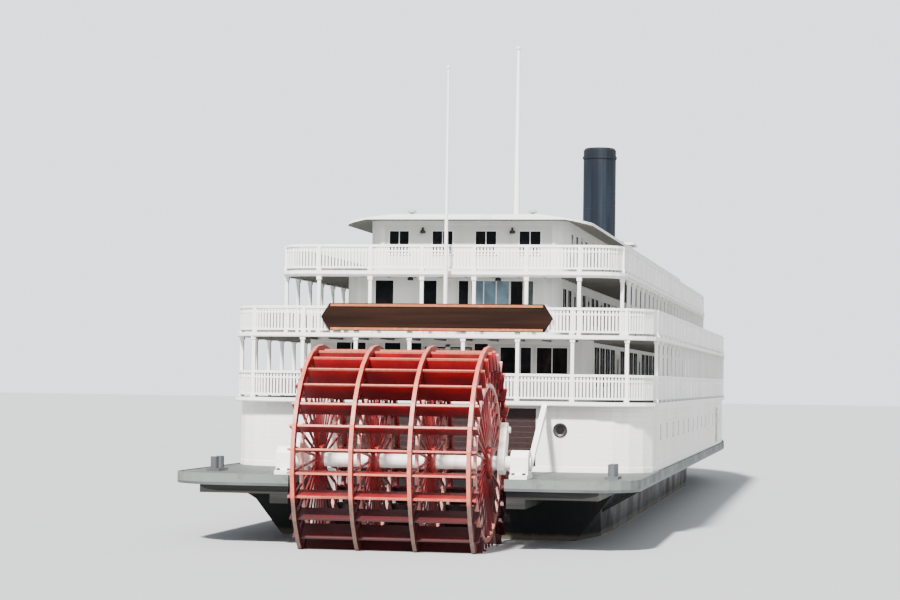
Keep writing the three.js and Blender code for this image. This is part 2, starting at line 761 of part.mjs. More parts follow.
// Masts and staffs: place, foot, head and the radius at each end
const SPARS = [
  { name: "mast", x: -11.2, foot: ROOF_Z, head: 24.75, low: 0.16, high: 0.08 },
  { name: "flagstaff", x: -30.8, foot: CABIN_Z, head: 21, low: 0.09, high: 0.045 },
  { name: "jackstaff", x: 41.9, foot: MAIN_Z, head: 12.2, low: 0.1, high: 0.05 },
];
function makeSpars() {
  for (const { name, x, foot, head, low, high } of SPARS) {
    const spar = turned(
      [
        [0, foot],
        [low, foot],
        [high, head - 0.2],
        [1.8 * high, head - 0.12],
        [1.8 * high, head - 0.04],
        [0, head],
      ],
      STOCK_SIDES,
    );
    add(name, spar, PAINT.white, [x, 0, 0]);
  }
}

// Sign board across the stern rail of the cabin deck, with pointed ends
const SIGN = { half: 4.4, low: 9.92, high: 11.04, thick: 0.12, point: 0.36 };
function makeSign() {
  const { half, low, high, thick, point } = SIGN;
  const middle = (low + high) / 2;
  const face = CABIN_DECK.aft + RAIL_INSET + RAIL_WIDTH / 2 - POST / 2;
  const board = [
    [half, low],
    [half + point, middle],
    [half, high],
    [-half, high],
    [-half - point, middle],
    [-half, low],
  ];
  add("sign_board", crosswise(board, face - thick, face), PAINT.sign);
}

// Foredeck: bulwark, capstan and mooring bitts, and bitts on the wings
const BULWARK = { from: 33.3, inset: 0.06, thick: 0.12, height: 1, risesAt: 38, stem: 1.6 };
const CAPSTAN_X = 37;
const BITTS = [
  { name: "bitts_fore_port", x: 35.2, y: 3.4 },
  { name: "bitts_fore_starboard", x: 35.2, y: -3.4 },
  { name: "bitts_aft_port", x: -37.4, y: 7.7 },
  { name: "bitts_aft_starboard", x: -37.4, y: -7.7 },
];
function makeDeckFittings() {
  const { from, inset, thick, height, risesAt, stem } = BULWARK;
  const inner = bothSides(guardEdge(inset + thick));
  const strip = slab(bothSides(guardEdge(inset)), MAIN_Z, MAIN_Z + stem, inner);
  const side = [
    [from, 0],
    [STEM_X, 0],
    [STEM_X, MAIN_Z + stem],
    [risesAt, MAIN_Z + height],
    [from, MAIN_Z + height],
  ];
  add("bow_bulwark", strip.intersect(profile(side, -FAR, FAR)), PAINT.white);

  const capstan = turned(
    [
      [0, MAIN_Z],
      [0.62, MAIN_Z],
      [0.62, MAIN_Z + 0.16],
      [0.34, MAIN_Z + 0.3],
      [0.3, MAIN_Z + 0.75],
      [0.5, MAIN_Z + 0.95],
      [0.5, MAIN_Z + 1.1],
      [0, MAIN_Z + 1.1],
    ],
    16,
  );
  add("capstan", capstan, PAINT.iron, [CAPSTAN_X, 0, 0]);

  const bollard = uprightCylinder(0.16, MAIN_Z + 0.05, MAIN_Z + 0.55, STOCK_SIDES);
  const bitts = join([
    box(-0.65, 0.65, -0.25, 0.25, MAIN_Z, MAIN_Z + 0.1),
    bollard.translate([-0.38, 0, 0]),
    bollard.translate([0.38, 0, 0]),
  ]);
  for (const { name, x, y } of BITTS) add(name, bitts, PAINT.iron, [x, y, 0]);
}

makeHull();
makeRudders();
makeMainDeck();
makeSternBeam();
makeTimbers();
makeWingFittings();
makeWheel();
makeUpperDecks();
makeRoof();
makeHouses();
makeRails();
makeUpperPosts();
makePilothouse();
makeStack();
makeSpars();
makeSign();
makeDeckFittings();

export default boat;
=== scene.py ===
# Sternwheel paddle boat, dressed over its CAD frame. Lengths are metres of the full-size boat, and
# M turns them into metres of the 1:10 model, which the frame is in. +X is the bow, +Y port, +Z up.
import math
from collections import namedtuple

import bmesh
import bpy
from mathutils import Matrix, Vector


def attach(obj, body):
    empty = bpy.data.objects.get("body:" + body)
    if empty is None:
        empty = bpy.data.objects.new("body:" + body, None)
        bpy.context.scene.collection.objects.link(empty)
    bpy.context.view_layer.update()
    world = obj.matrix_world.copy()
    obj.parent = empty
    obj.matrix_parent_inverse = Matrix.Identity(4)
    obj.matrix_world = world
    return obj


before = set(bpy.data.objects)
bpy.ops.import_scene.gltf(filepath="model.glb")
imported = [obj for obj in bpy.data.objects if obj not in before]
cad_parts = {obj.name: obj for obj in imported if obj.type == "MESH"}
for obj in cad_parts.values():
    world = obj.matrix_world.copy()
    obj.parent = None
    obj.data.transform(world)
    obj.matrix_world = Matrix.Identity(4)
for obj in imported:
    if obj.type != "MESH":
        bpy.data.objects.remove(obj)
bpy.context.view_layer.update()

M = 0.1
WATER_Z = 1.75
CREASE = 40  # degrees, past which an edge of a smooth piece stays sharp

# Decks and houses, as the CAD source has them
MAIN_Z = 4.35
SALOON_Z = 7.17
CABIN_Z = 9.83
UPPER_Z = 12.49
ROOF_Z = 15.15
PLATE = 0.14
ROOF_PLATE = 0.22
RAIL_HEIGHT = 1.1
RAIL_DEPTH = 0.1
RAIL_INSET = 0.08
RAIL_WIDTH = 0.12
POST = 0.14
POST_SPACING = 2.2
STERN_POSTS = 5
FRONT_POWER = 2.6
HALF_BEAM = 8.84
WHEEL_X = -39.1315
WHEEL_Z = 4.915
BUCKETS = 30
FIRST_ANGLE = 5
FRAME_YS = [-3.2, -1.07, 1.07, 3.2]
STACK_X = 26.1
CASING_TOP_Z = 15.95
MAST_X = -11.2

# In plan: the stern, the radii of its corners, half the width, where the front's curve starts, and the bow
Outline = namedtuple("Outline", "aft corner half shoulder bow")
MAIN_HOUSE = Outline(-32.35, (2.3, 2.3), 8.7, 16, 33)
SALOON_DECK = Outline(-32.85, (2.3, 2.3), HALF_BEAM, 16, 34.4)
SALOON_HOUSE = Outline(-30, (0.6, 0.6), 6, 22, 30.8)
CABIN_DECK = Outline(-32.85, (2.3, 2.3), HALF_BEAM, 16, 33.8)
CABIN_HOUSE = Outline(-29.3, (0.6, 0.6), 4.55, 24, 30.4)
UPPER_DECK = Outline(-30.4, (1.6, 1.4), 7.35, 20, 33.2)
UPPER_HOUSE = Outline(-25.5, (0.6, 0.6), 4.38, 24, 30.6)
ROOF = Outline(-26.4, (1.4, 1.2), 5.45, 25, 33)
CAMBER = {"flat": 3.3, "drop": 0.3}
EDGE_BEAM = {"inset": 0.08, "width": 0.14, "depth": 0.1}
PILOT = {"aft": 28, "fore": 31.4, "half": 1.85, "chamfer": 0.75, "high": 17.25, "sill": 0.95, "head": 0.35}
SHOULDER_X = 16
STEM_X = 43.45
BOW_POWER = 2.4
WING_AFT_X = -40.6
WING_CORNER = 2
RECESS_HALF = 4.05
DECK_UNDER_Z = 4.05
BEARING_Y = 4.45


# Outlines in plan

def quarter(steps):
    """The angles of a quarter turn."""
    return [math.pi / 2 * k / steps for k in range(steps + 1)]


def port_edge(spec, inset=0.0):
    """The port edge of a deck or house: a round stern corner, a straight side and a curved front."""
    corner_steps = 5
    front_steps = 9
    along, across = (size - inset for size in spec.corner)
    y = spec.half - inset
    edge = []
    for a in quarter(corner_steps):
        edge.append((spec.aft + inset + along * (1 - math.cos(a)), y - across * (1 - math.sin(a))))
    reach = spec.bow - inset - spec.shoulder
    for a in quarter(front_steps):
        edge.append((spec.shoulder + reach * math.sin(a) ** (2 / FRONT_POWER), y * math.cos(a)))
    edge[-1] = (edge[-1][0], 0.0)
    return edge


def whole_edge(spec, inset=0.0):
    """The port edge with the straight stern before it, from the centreline."""
    return [(spec.aft + inset, 0.0)] + port_edge(spec, inset)


def guard_edge(inset=0.0):
    """The port edge of the main deck and its guard, from the wheel's recess to the stem."""
    corner_steps = 6
    bow_steps = 9
    stem_half = 0.15
    edge = [(WING_AFT_X + inset, RECESS_HALF)]
    corner = WING_CORNER - inset
    for a in quarter(corner_steps):
        edge.append((WING_AFT_X + inset + corner * (1 - math.cos(a)),
                     HALF_BEAM - inset - corner * (1 - math.sin(a))))
    for k in range(bow_steps + 1):
        t = k / bow_steps
        y = max((HALF_BEAM - inset) * (1 - t ** BOW_POWER), stem_half - inset / 2)
        edge.append((SHOULDER_X + (STEM_X - inset - SHOULDER_X) * t, y))
    return edge


def edge_points(edge, spacing):
    """Points at an even spacing near the one asked, each with the direction of the edge there."""
    total = sum(math.dist(a, b) for a, b in zip(edge, edge[1:]))
    count = max(1, round(total / spacing))
    step = total / count
    points = []
    passed = 0.0
    k = 0
    for a, b in zip(edge, edge[1:]):
        length = math.dist(a, b)
        if length < 1e-9:
            continue
        ux, uy = (b[0] - a[0]) / length, (b[1] - a[1]) / length
        while k <= count and k * step <= passed + length + 1e-6:
            t = k * step - passed
            points.append((a[0] + ux * t, a[1] + uy * t, ux, uy))
            k += 1
        passed += length
    return points


# Solids, gathered into one object a piece

BOX_FACES = [(0, 2, 3, 1), (4, 5, 7, 6), (0, 1, 5, 4), (2, 6, 7, 3), (0, 4, 6, 2), (1, 3, 7, 5)]


def add_object(name, data):
    made = bpy.data.objects.new(name, data)
    bpy.context.scene.collection.objects.link(made)
    return made


class Piece:
    """Solids in boat metres that become one object, painted and riding on a body."""

    def __init__(self, name, paint, body="root", smooth=False):
        self.name = name
        self.paint = PAINTS[paint]
        self.slot = next(slot for slot, paints in SLOTS.items() if paint in paints)
        self.body = body
        self.smooth = smooth
        self.bm = bmesh.new()

    def hexa(self, corners):
        """Eight corners in the order of their bits: z, then y, then x."""
        verts = [self.bm.verts.new(Vector(c) * M) for c in corners]
        for face in BOX_FACES:
            self.bm.faces.new([verts[i] for i in face])

    def box(self, x0, x1, y0, y1, z0, z1):
        self.hexa([(x, y, z) for x in (x0, x1) for y in (y0, y1) for z in (z0, z1)])

    def local_box(self, wall, span, depth, height):
        """A box on a wall, which is a point in plan, the way along it and the way out of it."""
        origin, u, n = wall
        corners = []
        for s in span:
            for d in depth:
                for z in height:
                    corners.append((origin[0] + u[0] * s + n[0] * d, origin[1] + u[1] * s + n[1] * d, z))
        self.hexa(corners)

    def bar(self, a, b, width, depth, side=(0, 1, 0)):
        """A square bar between two points. Width is measured towards the side that is given."""
        a, b = Vector(a), Vector(b)
        along = (b - a).normalized()
        across = Vector(side) - along * along.dot(Vector(side))
        across = across.normalized() * (width / 2)
        up = along.cross(across).normalized() * (depth / 2)
        self.hexa([end + across * s + up * t for end in (a, b) for s in (-1, 1) for t in (-1, 1)])

    def revolve(self, origin, axis, profile, sides):
        """A closed body of revolution from radius and distance pairs along an axis."""
        axis = Vector(axis).normalized()
        side = axis.orthogonal().normalized()
        turn = axis.cross(side)
        rings = []
        for r, t in profile:
            centre = Vector(origin) + axis * t
            ring = []
            for k in range(sides if r else 1):
                a = math.tau * k / sides
                point = centre + side * (r * math.cos(a)) + turn * (r * math.sin(a))
                ring.append(self.bm.verts.new(point * M))
            rings.append(ring)
        for low, high in zip(rings, rings[1:]):
            for k in range(sides):
                n = (k + 1) % sides
                quad = [low[k % len(low)], low[n % len(low)], high[n % len(high)], high[k % len(high)]]
                face = list(dict.fromkeys(quad))
                if len(face) > 2:
                    self.bm.faces.new(face)

    def strip(self, edge, width, z0, z1):
        """A board that follows a port edge and its mirror image, as far in as its width."""
        for side in (1, -1):
            rows = []
            for k, (x, y) in enumerate(edge):
                before = edge[max(k - 1, 0)]
                after = edge[min(k + 1, len(edge) - 1)]
                dx, dy = after[0] - before[0], after[1] - before[1]
                length = math.hypot(dx, dy) or 1
                nx, ny = dy / length, -dx / length
                inner = (x + nx * width, max(y + ny * width, 0.0))
                rows.append([(x, y * side), (inner[0], inner[1] * side)])
            for (a, ai), (b, bi) in zip(rows, rows[1:]):
                self.hexa([(*p, z) for p in (a, ai, b, bi) for z in (z0, z1)])

    def finish(self, bevel=0.0):
        bmesh.ops.recalc_face_normals(self.bm, faces=self.bm.faces)
        mesh = bpy.data.meshes.new(self.name)
        self.bm.to_mesh(mesh)
        self.bm.free()
        mesh.materials.append(self.paint)
        piece = add_object(self.name, mesh)
        if self.smooth:
            for polygon in mesh.polygons:
                polygon.use_smooth = True
            split = piece.modifiers.new("edges", "EDGE_SPLIT")
            split.split_angle = math.radians(CREASE)
        if bevel:
            modifier = piece.modifiers.new("bevel", "BEVEL")
            modifier.width = bevel * M
            modifier.limit_method = "ANGLE"
        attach(piece, self.body)


# Materials

NOISE_ROUGHNESS = 0.55


class Nodes:
    """Short names for the nodes that the paints share."""

    def __init__(self, name):
        self.material = bpy.data.materials.new(name)
        self.material.use_nodes = True
        self.tree = self.material.node_tree
        self.tree.nodes.clear()
        self.shader = self.node("BsdfPrincipled")
        self.node("OutputMaterial", {"Surface": self.shader.outputs["BSDF"]})
        self.place = self.node("TexCoord").outputs["Object"]

    def node(self, kind, inputs=None, **settings):
        made = self.tree.nodes.new("ShaderNode" + kind)
        for key, value in settings.items():
            setattr(made, key, value)
        self.fill(made, inputs or {})
        return made

    def fill(self, node, inputs):
        """Values or links for a node's inputs, which have a name or a number."""
        for key, value in inputs.items():
            if hasattr(value, "is_output"):
                self.tree.links.new(value, node.inputs[key])
            else:
                node.inputs[key].default_value = value

    def math(self, operation, a, b=0.0):
        return self.node("Math", {0: a, 1: b}, operation=operation).outputs[0]

    def stretched(self, scale):
        return self.node("Mapping", {"Vector": self.place, "Scale": scale}).outputs[0]

    def noise(self, scale, detail, vector=None):
        inputs = {"Vector": vector or self.place, "Scale": scale, "Detail": detail}
        return self.node("TexNoise", {**inputs, "Roughness": NOISE_ROUGHNESS}).outputs[0]

    def ramp(self, value, low, high):
        """0 below low, 1 above high, and smooth between."""
        inputs = {"Value": value, "From Min": low, "From Max": high}
        return self.node("MapRange", inputs, interpolation_type="SMOOTHSTEP").outputs[0]

    def rise(self, value, span):
        """The ramp of a length, over a span in boat metres."""
        return self.ramp(value, span[0] * M, span[1] * M)

    def scaled(self, value, low, high):
        """0 to 1 stretched to run from low to high."""
        return self.node("MapRange", {"Value": value, "To Min": low, "To Max": high}).outputs[0]

    def mix(self, factor, a, b):
        a, b = ((*c, 1) if isinstance(c, tuple) else c for c in (a, b))
        return self.node("Mix", {0: factor, 6: a, 7: b}, data_type="RGBA").outputs[2]

    def cover(self, colour, mask, share, over):
        """A second colour over the first, as thick as a share of the mask."""
        return self.mix(self.math("MULTIPLY", mask, share), colour, over)

    def axes(self, vector=None):
        return self.node("SeparateXYZ", {0: vector or self.place}).outputs

    def normal(self):
        """The surface's own normal, in the object's axes."""
        return self.axes(self.node("TexCoord").outputs["Normal"])

    def faces(self, top, side, under):
        """A colour each for faces that look up, upright ones and ones that look down."""
        up = self.normal()[2]
        colour = self.mix(self.ramp(up, 0.4, 0.6), side, top)
        return self.mix(self.ramp(up, -0.4, -0.6), colour, under)

    def grooves(self, coordinate, pitch, width):
        """1 in narrow grooves at an even pitch in boat metres, 0 between them."""
        wave = self.math("PINGPONG", coordinate, pitch * M / 2)
        return self.math("LESS_THAN", wave, width * M / 2)

    def bump(self, height, strength, distance, under=None):
        inputs = {"Height": height, "Strength": strength, "Distance": distance * M}
        if under:
            inputs["Normal"] = under
        return self.node("Bump", inputs).outputs[0]

    def cut(self, grooves, strength, distance, under):
        """The bump of grooves that are pressed into a surface."""
        return self.bump(self.math("SUBTRACT", 1.0, grooves), strength, distance, under)

    def finish(self, colour, roughness, normal=None, metallic=0.0, specular=0.5):
        inputs = {"Base Color": colour, "Roughness": roughness, "Metallic": metallic}
        if normal:
            inputs["Normal"] = normal
        self.fill(self.shader, {**inputs, "Specular IOR Level": specular})
        return self.material


WHITE = (0.88, 0.87, 0.83)
WARM = (0.82, 0.80, 0.74)
GRIME = (0.42, 0.38, 0.31)
SOOTY = (0.03, 0.03, 0.03)

# Spans over which paints change: radii of the wheel, and heights over the bottom of the hull
BOARDS_SHADED = (4.15, 3.7)
BOARD_EDGE_HIGHLIGHT = (4.085, 4.1)
RIM_FACE_HIGHLIGHT = (4.18, 4.2)
INNER_RING_HIGHLIGHT = (2.76, 3.0)
WET_AND_SHADED_BOARDS = (3.85, 3.35)
WET_AND_SHADED_ARMS = (4.2, 3.3)
STACK_SOOT = (21.5, 23.5)

# The part of the stern wall behind the wheel that gets painted shade in dark red: the wall's face, and half
# the width
RECESS_SHADE = (MAIN_HOUSE.aft + 0.02, RECESS_HALF)


def toned(colour, share):
    """A colour made lighter, or darker for a share below 1."""
    return tuple(c * share for c in colour)


def painted(name, base, worn, streak, boards=None, dirt=0.35, fine=60.0, recess_shade=None):
    """Brushed paint: cloudy variation, rain streaks, soft brush bump and, if asked, board seams.

    The boards are an axis and a pitch. If asked, the stern wall behind the wheel is dark red: painted
    shade.
    """
    n = Nodes(name)
    colour = n.mix(n.ramp(n.noise(3.0, 4.0), 0.35, 0.7), base, worn)
    runs = n.noise(14.0, 5.0, n.stretched((1.0, 1.0, 0.08)))
    runs = n.math("MULTIPLY", n.ramp(runs, 0.52, 0.75), dirt)
    colour = n.mix(runs, colour, streak)
    grain = n.noise(fine, 3.0)
    normal = n.bump(grain, 0.15, 0.03)
    if boards:
        axis, pitch = boards
        seams = n.grooves(n.axes()[axis], pitch, 0.018)
        colour = n.cover(colour, seams, 0.2, streak)
        normal = n.cut(seams, 0.4, 0.02, normal)
    # Painted shade: the stern wall behind the wheel is coloured dark red, as it looks in the deep shade
    # there.
    if recess_shade:
        face, half = recess_shade
        x, y = n.axes()[0:2]
        behind = n.math("LESS_THAN", x, face * M)
        beside = n.math("LESS_THAN", n.math("ABSOLUTE", y), half * M)
        red = n.mix(runs, (0.014, 0.002, 0.002), (0.006, 0.002, 0.002))
        colour = n.mix(n.math("MULTIPLY", behind, beside), colour, red)
    return n.finish(colour, n.scaled(grain, 0.35, 0.6), normal)


def deck_paint(name, top, under):
    """A deck plate: a walking surface with seams, a streaked white edge and a beamed ceiling below, dark
    with painted shade.
    """
    n = Nodes(name)
    x, y = n.axes()[0:2]
    walk = n.mix(n.ramp(n.noise(5.0, 4.0), 0.35, 0.75), top, toned(top, 1.3))
    walk = n.cover(walk, n.grooves(y, 0.18, 0.02), 0.6, (0.05, 0.05, 0.045))
    # Painted shade: the underside takes a dark colour for the shade under the deck, with darker beams.
    ceiling = n.cover(under, n.grooves(x, 0.6, 0.08), 0.45, toned(under, 0.55))
    streaks = n.ramp(n.noise(16.0, 4.0, n.stretched((1.0, 1.0, 0.2))), 0.55, 0.8)
    side = n.cover(WHITE, streaks, 0.35, (0.42, 0.38, 0.32))
    rough = n.scaled(n.noise(40.0, 3.0), 0.55, 0.8)
    return n.finish(n.faces(walk, side, ceiling), rough, n.bump(n.noise(50.0, 3.0), 0.15, 0.03))


def wheel_radius(n):
    x, _, z = n.axes()[0:3]
    across = n.math("SUBTRACT", x, WHEEL_X * M)
    up = n.math("SUBTRACT", z, WHEEL_Z * M)
    return n.math("SQRT", n.math("ADD", n.math("MULTIPLY", across, across), n.math("MULTIPLY", up, up)))


def bucket_paint(name):
    """Red boards with grain along them, painted shade towards the shaft, darker low down where wet and with
    painted shade, and painted highlights on the outer edges and the rims, broken by chipped paint.

    The darker low part is fixed to the wheel, so it turns with it.
    """
    n = Nodes(name)
    radius = wheel_radius(n)
    cloud = n.ramp(n.noise(9.0, 3.0), 0.3, 0.7)
    colour = n.mix(cloud, (0.34, 0.0, 0.003), (0.17, 0.0, 0.003))
    grain = n.noise(30.0, 6.0, n.stretched((1.0, 0.06, 1.0)))
    colour = n.cover(colour, n.ramp(grain, 0.5, 0.75), 0.6, (0.09, 0.0, 0.003))
    # Painted shade: the boards grow darker towards the shaft.
    colour = n.cover(colour, n.rise(radius, BOARDS_SHADED), 0.6, (0.045, 0.001, 0.004))
    # Darker low down: partly wet wood, partly painted shade.
    height = n.math("ADD", n.axes()[2], n.scaled(n.noise(20.0, 4.0), -0.03, 0.03))
    wet_and_shaded = n.rise(height, WET_AND_SHADED_BOARDS)
    colour = n.cover(colour, wet_and_shaded, 0.85, (0.025, 0.003, 0.005))
    # Painted highlight: the outer edges and rims are pale orange as if sunlit, broken by chipped paint. Low
    # down the edges darken with painted shade, and the rim faces keep a fainter painted highlight.
    chips = n.ramp(n.noise(70.0, 3.0), 0.4, 0.55)
    edge = n.math("MULTIPLY", n.rise(radius, BOARD_EDGE_HIGHLIGHT), n.scaled(chips, 0.75, 1.0))
    edge = n.math("MULTIPLY", edge, n.ramp(n.math("ABSOLUTE", n.normal()[1]), 0.8, 0.5))
    low_edge_shade_and_highlight = n.mix(n.rise(radius, RIM_FACE_HIGHLIGHT), (0.045, 0.008, 0.009), (0.14, 0.08, 0.06))
    colour = n.mix(edge, colour, n.mix(wet_and_shaded, (0.54, 0.13, 0.085), low_edge_shade_and_highlight))
    return n.finish(colour, n.scaled(grain, 0.35, 0.6), n.bump(grain, 0.35, 0.04))


def arm_paint(name):
    """Red arms with chipped paint, darker low down where wet and with painted shade, and a paler ring
    inside the boards that is a painted highlight.
    """
    n = Nodes(name)
    cloud = n.ramp(n.noise(12.0, 3.0), 0.3, 0.7)
    colour = n.mix(cloud, (0.26, 0.004, 0.006), (0.11, 0.002, 0.005))
    chips = n.ramp(n.noise(60.0, 4.0), 0.64, 0.74)
    colour = n.cover(colour, chips, 0.5, (0.55, 0.26, 0.22))
    # Darker low down: partly wet, partly painted shade.
    colour = n.cover(colour, n.rise(n.axes()[2], WET_AND_SHADED_ARMS), 0.8, (0.035, 0.005, 0.007))
    # Painted highlight: a paler ring inside the boards.
    radius = wheel_radius(n)
    low, high = INNER_RING_HIGHLIGHT
    ring = n.math("MULTIPLY", n.rise(radius, (low, low + 0.04)), n.rise(radius, (high, high - 0.04)))
    colour = n.cover(colour, ring, 0.8, (0.60, 0.24, 0.20))
    return n.finish(colour, n.scaled(cloud, 0.35, 0.6), n.bump(n.noise(80.0, 3.0), 0.3, 0.03))


def hull_paint(name):
    """Near-black plates with seams and rust runs, a pale line of scum at the water and red below it."""
    n = Nodes(name)
    x, _, z = n.axes()[0:3]
    cloud = n.ramp(n.noise(4.0, 5.0), 0.35, 0.7)
    colour = n.mix(cloud, (0.004, 0.005, 0.006), (0.012, 0.014, 0.015))
    rust = n.noise(18.0, 6.0, n.stretched((1.0, 1.0, 0.12)))
    colour = n.cover(colour, n.ramp(rust, 0.6, 0.75), 0.6, (0.10, 0.035, 0.015))
    ragged = n.math("ADD", z, n.scaled(n.noise(25.0, 4.0), -0.01, 0.01))
    above = n.rise(ragged, (WATER_Z - 0.1, WATER_Z))
    scum = n.math("MULTIPLY", n.rise(ragged, (WATER_Z + 0.3, WATER_Z + 0.1)), above)
    colour = n.cover(colour, scum, 0.7, (0.16, 0.14, 0.10))
    colour = n.mix(above, (0.10, 0.022, 0.016), colour)
    seams = n.math("MAXIMUM", n.grooves(x, 2.4, 0.05), n.grooves(z, 1.2, 0.05))
    normal = n.cut(seams, 0.5, 0.03, n.bump(n.noise(9.0, 4.0), 0.3, 0.1))
    return n.finish(colour, n.scaled(cloud, 0.4, 0.65), normal, specular=0.2)


def guard_paint(name):
    """Grey guard deck with seams, a little lighter along its edge and dark below."""
    n = Nodes(name)
    wear = n.ramp(n.noise(6.0, 5.0), 0.35, 0.7)
    walk = n.mix(wear, (0.07, 0.078, 0.076), (0.12, 0.135, 0.13))
    walk = n.cover(walk, n.grooves(n.axes()[1], 0.25, 0.02), 0.6, SOOTY)
    side = n.mix(n.ramp(n.noise(20.0, 4.0), 0.5, 0.75), (0.14, 0.16, 0.15), (0.09, 0.10, 0.095))
    normal = n.bump(n.noise(40.0, 4.0), 0.25, 0.04)
    return n.finish(n.faces(walk, side, SOOTY), n.scaled(wear, 0.5, 0.75), normal, specular=0.2)


def stack_paint(name):
    """Dark blue plates with seams round them, streaked, and sooty towards the top."""
    n = Nodes(name)
    z = n.axes()[2]
    runs = n.ramp(n.noise(12.0, 5.0, n.stretched((1.0, 1.0, 0.06))), 0.4, 0.7)
    colour = n.mix(runs, (0.006, 0.009, 0.015), (0.014, 0.021, 0.031))
    colour = n.cover(colour, n.rise(z, STACK_SOOT), 0.5, (0.012, 0.014, 0.017))
    normal = n.cut(n.grooves(z, 1.5, 0.04), 0.5, 0.02, n.bump(runs, 0.1, 0.02))
    return n.finish(colour, n.scaled(runs, 0.35, 0.5), normal, specular=0.2)


def glass_paint(name, dark, light, share, sheen=0.5):
    """Window glass: dark rooms, with pale curtains or blinds behind a share of the panes. The lobby glass's
    blue colours are a painted reflection of the sky.
    """
    n = Nodes(name)
    inputs = {"Vector": n.stretched((0.45, 0.45, 0.38)), "Scale": 10.0}
    cells = n.node("TexVoronoi", inputs, feature="F1")
    shade = n.axes(cells.outputs["Color"])[0]
    curtain = n.ramp(shade, 1.0 - share - 0.03, 1.0 - share + 0.03)
    folds = n.noise(60.0, 2.0, n.stretched((1.0, 1.0, 0.05)))
    pale = n.mix(n.ramp(folds, 0.4, 0.6), light, toned(light, 0.6))
    room = n.mix(n.ramp(n.noise(8.0, 3.0), 0.4, 0.7), dark, toned(dark, 2.2))
    rough = n.scaled(n.noise(30.0, 2.0), 0.06, 0.16)
    n.fill(n.shader, {"Coat Weight": max(sheen, 0.05), "Coat Roughness": 0.03})
    return n.finish(n.mix(curtain, room, pale), rough, specular=sheen)


def wood_paint(name, dark, light, along=(1.0, 0.05, 1.0)):
    n = Nodes(name)
    grain = n.noise(26.0, 6.0, n.stretched(along))
    colour = n.mix(n.ramp(grain, 0.35, 0.7), dark, light)
    return n.finish(colour, n.scaled(grain, 0.35, 0.55), n.bump(grain, 0.35, 0.03), specular=0.08)


def metal_paint(name, base, rust):
    n = Nodes(name)
    spots = n.ramp(n.noise(35.0, 5.0), 0.55, 0.7)
    colour = n.cover(base, spots, 0.5, rust)
    return n.finish(colour, n.scaled(spots, 0.4, 0.7), n.bump(n.noise(60.0, 4.0), 0.3, 0.03), metallic=0.4)


PAINTS = {
    "wall": painted("white_wall", WHITE, WARM, GRIME, boards=(0, 0.25), dirt=0.3),
    "main_wall": painted("main_wall", WHITE, WARM, GRIME, boards=(2, 0.22), recess_shade=RECESS_SHADE),
    "trim": painted("white_trim", (0.92, 0.91, 0.88), WHITE, GRIME, dirt=0.2, fine=90.0),
    "rail": painted("white_rail", (0.94, 0.93, 0.91), (0.90, 0.89, 0.85), WARM, dirt=0.2, fine=90.0),
    # Painted shade: the ceiling paint of the beams under the decks is a dark grey that stands in for shade.
    "ceiling": painted("painted_shade_ceiling", (0.19, 0.18, 0.16), (0.15, 0.14, 0.12), (0.08, 0.07, 0.06)),
    "vent": painted("ventilator_grey", (0.42, 0.43, 0.44), (0.34, 0.35, 0.36), (0.20, 0.19, 0.17)),
    "strake": painted("guard_strake", (0.05, 0.055, 0.06), (0.09, 0.10, 0.105), SOOTY),
    "hub": painted("hub_paint", (0.30, 0.012, 0.014), (0.42, 0.03, 0.025), (0.10, 0.01, 0.01)),
    # The last colour of each deck is its underside: painted shade.
    "deck": deck_paint("upper_decks", (0.09, 0.10, 0.10), (0.15, 0.14, 0.12)),
    "roof": deck_paint("roof_canvas", (0.52, 0.51, 0.48), (0.24, 0.23, 0.20)),
    "guard": guard_paint("guard_deck"),
    "beam": painted("stern_beam_paint", (0.34, 0.35, 0.38), (0.26, 0.27, 0.29), (0.12, 0.10, 0.08)),
    "hull": hull_paint("hull_plates"),
    "timber": wood_paint("wing_timber", (0.018, 0.018, 0.018), (0.05, 0.047, 0.043)),
    "bucket": bucket_paint("wheel_boards"),
    "arm": arm_paint("wheel_arms"),
    "shaft": painted("shaft_paint", (0.86, 0.80, 0.75), (0.80, 0.70, 0.64), (0.42, 0.16, 0.10), dirt=0.5),
    "stack": stack_paint("stack_plates"),
    "sign": wood_paint("sign_wood", (0.009, 0.004, 0.003), (0.022, 0.009, 0.005)),
    "copper": metal_paint("sign_border", (0.42, 0.13, 0.06), (0.55, 0.25, 0.15)),
    "iron": metal_paint("deck_iron", (0.03, 0.03, 0.032), (0.13, 0.05, 0.025)),
    "door": wood_paint("door_paint", (0.50, 0.47, 0.40), (0.62, 0.59, 0.51), along=(1.0, 1.0, 0.08)),
    "glass": glass_paint("window_glass", (0.012, 0.015, 0.018), (0.24, 0.22, 0.19), 0.15, 0.02),
    "dark_glass": glass_paint("saloon_glass", (0.008, 0.009, 0.010), (0.018, 0.016, 0.015), 0.3, 0.0),
    # Painted reflection: the lobby glass is light blue, as the sky shows in it.
    "blue_glass": glass_paint("lobby_glass", (0.10, 0.16, 0.20), (0.30, 0.40, 0.46), 0.3),
    "pilot_glass": glass_paint("pilothouse_glass", (0.03, 0.045, 0.05), (0.10, 0.13, 0.14), 0.1),
}

# The record's material slot of each paint that a piece can have
SLOTS = {
    "white_paint": ["trim", "rail", "ceiling", "vent", "roof"],
    "stack_paint": ["stack", "glass", "dark_glass", "blue_glass", "pilot_glass"],
    "guard_paint": ["guard", "strake"],
    "hull_paint": ["timber"],
    "wheel_red": ["arm", "hub"],
    "door_paint": ["door"],
    "sign_wood": ["copper"],
    "iron": ["iron"],
}

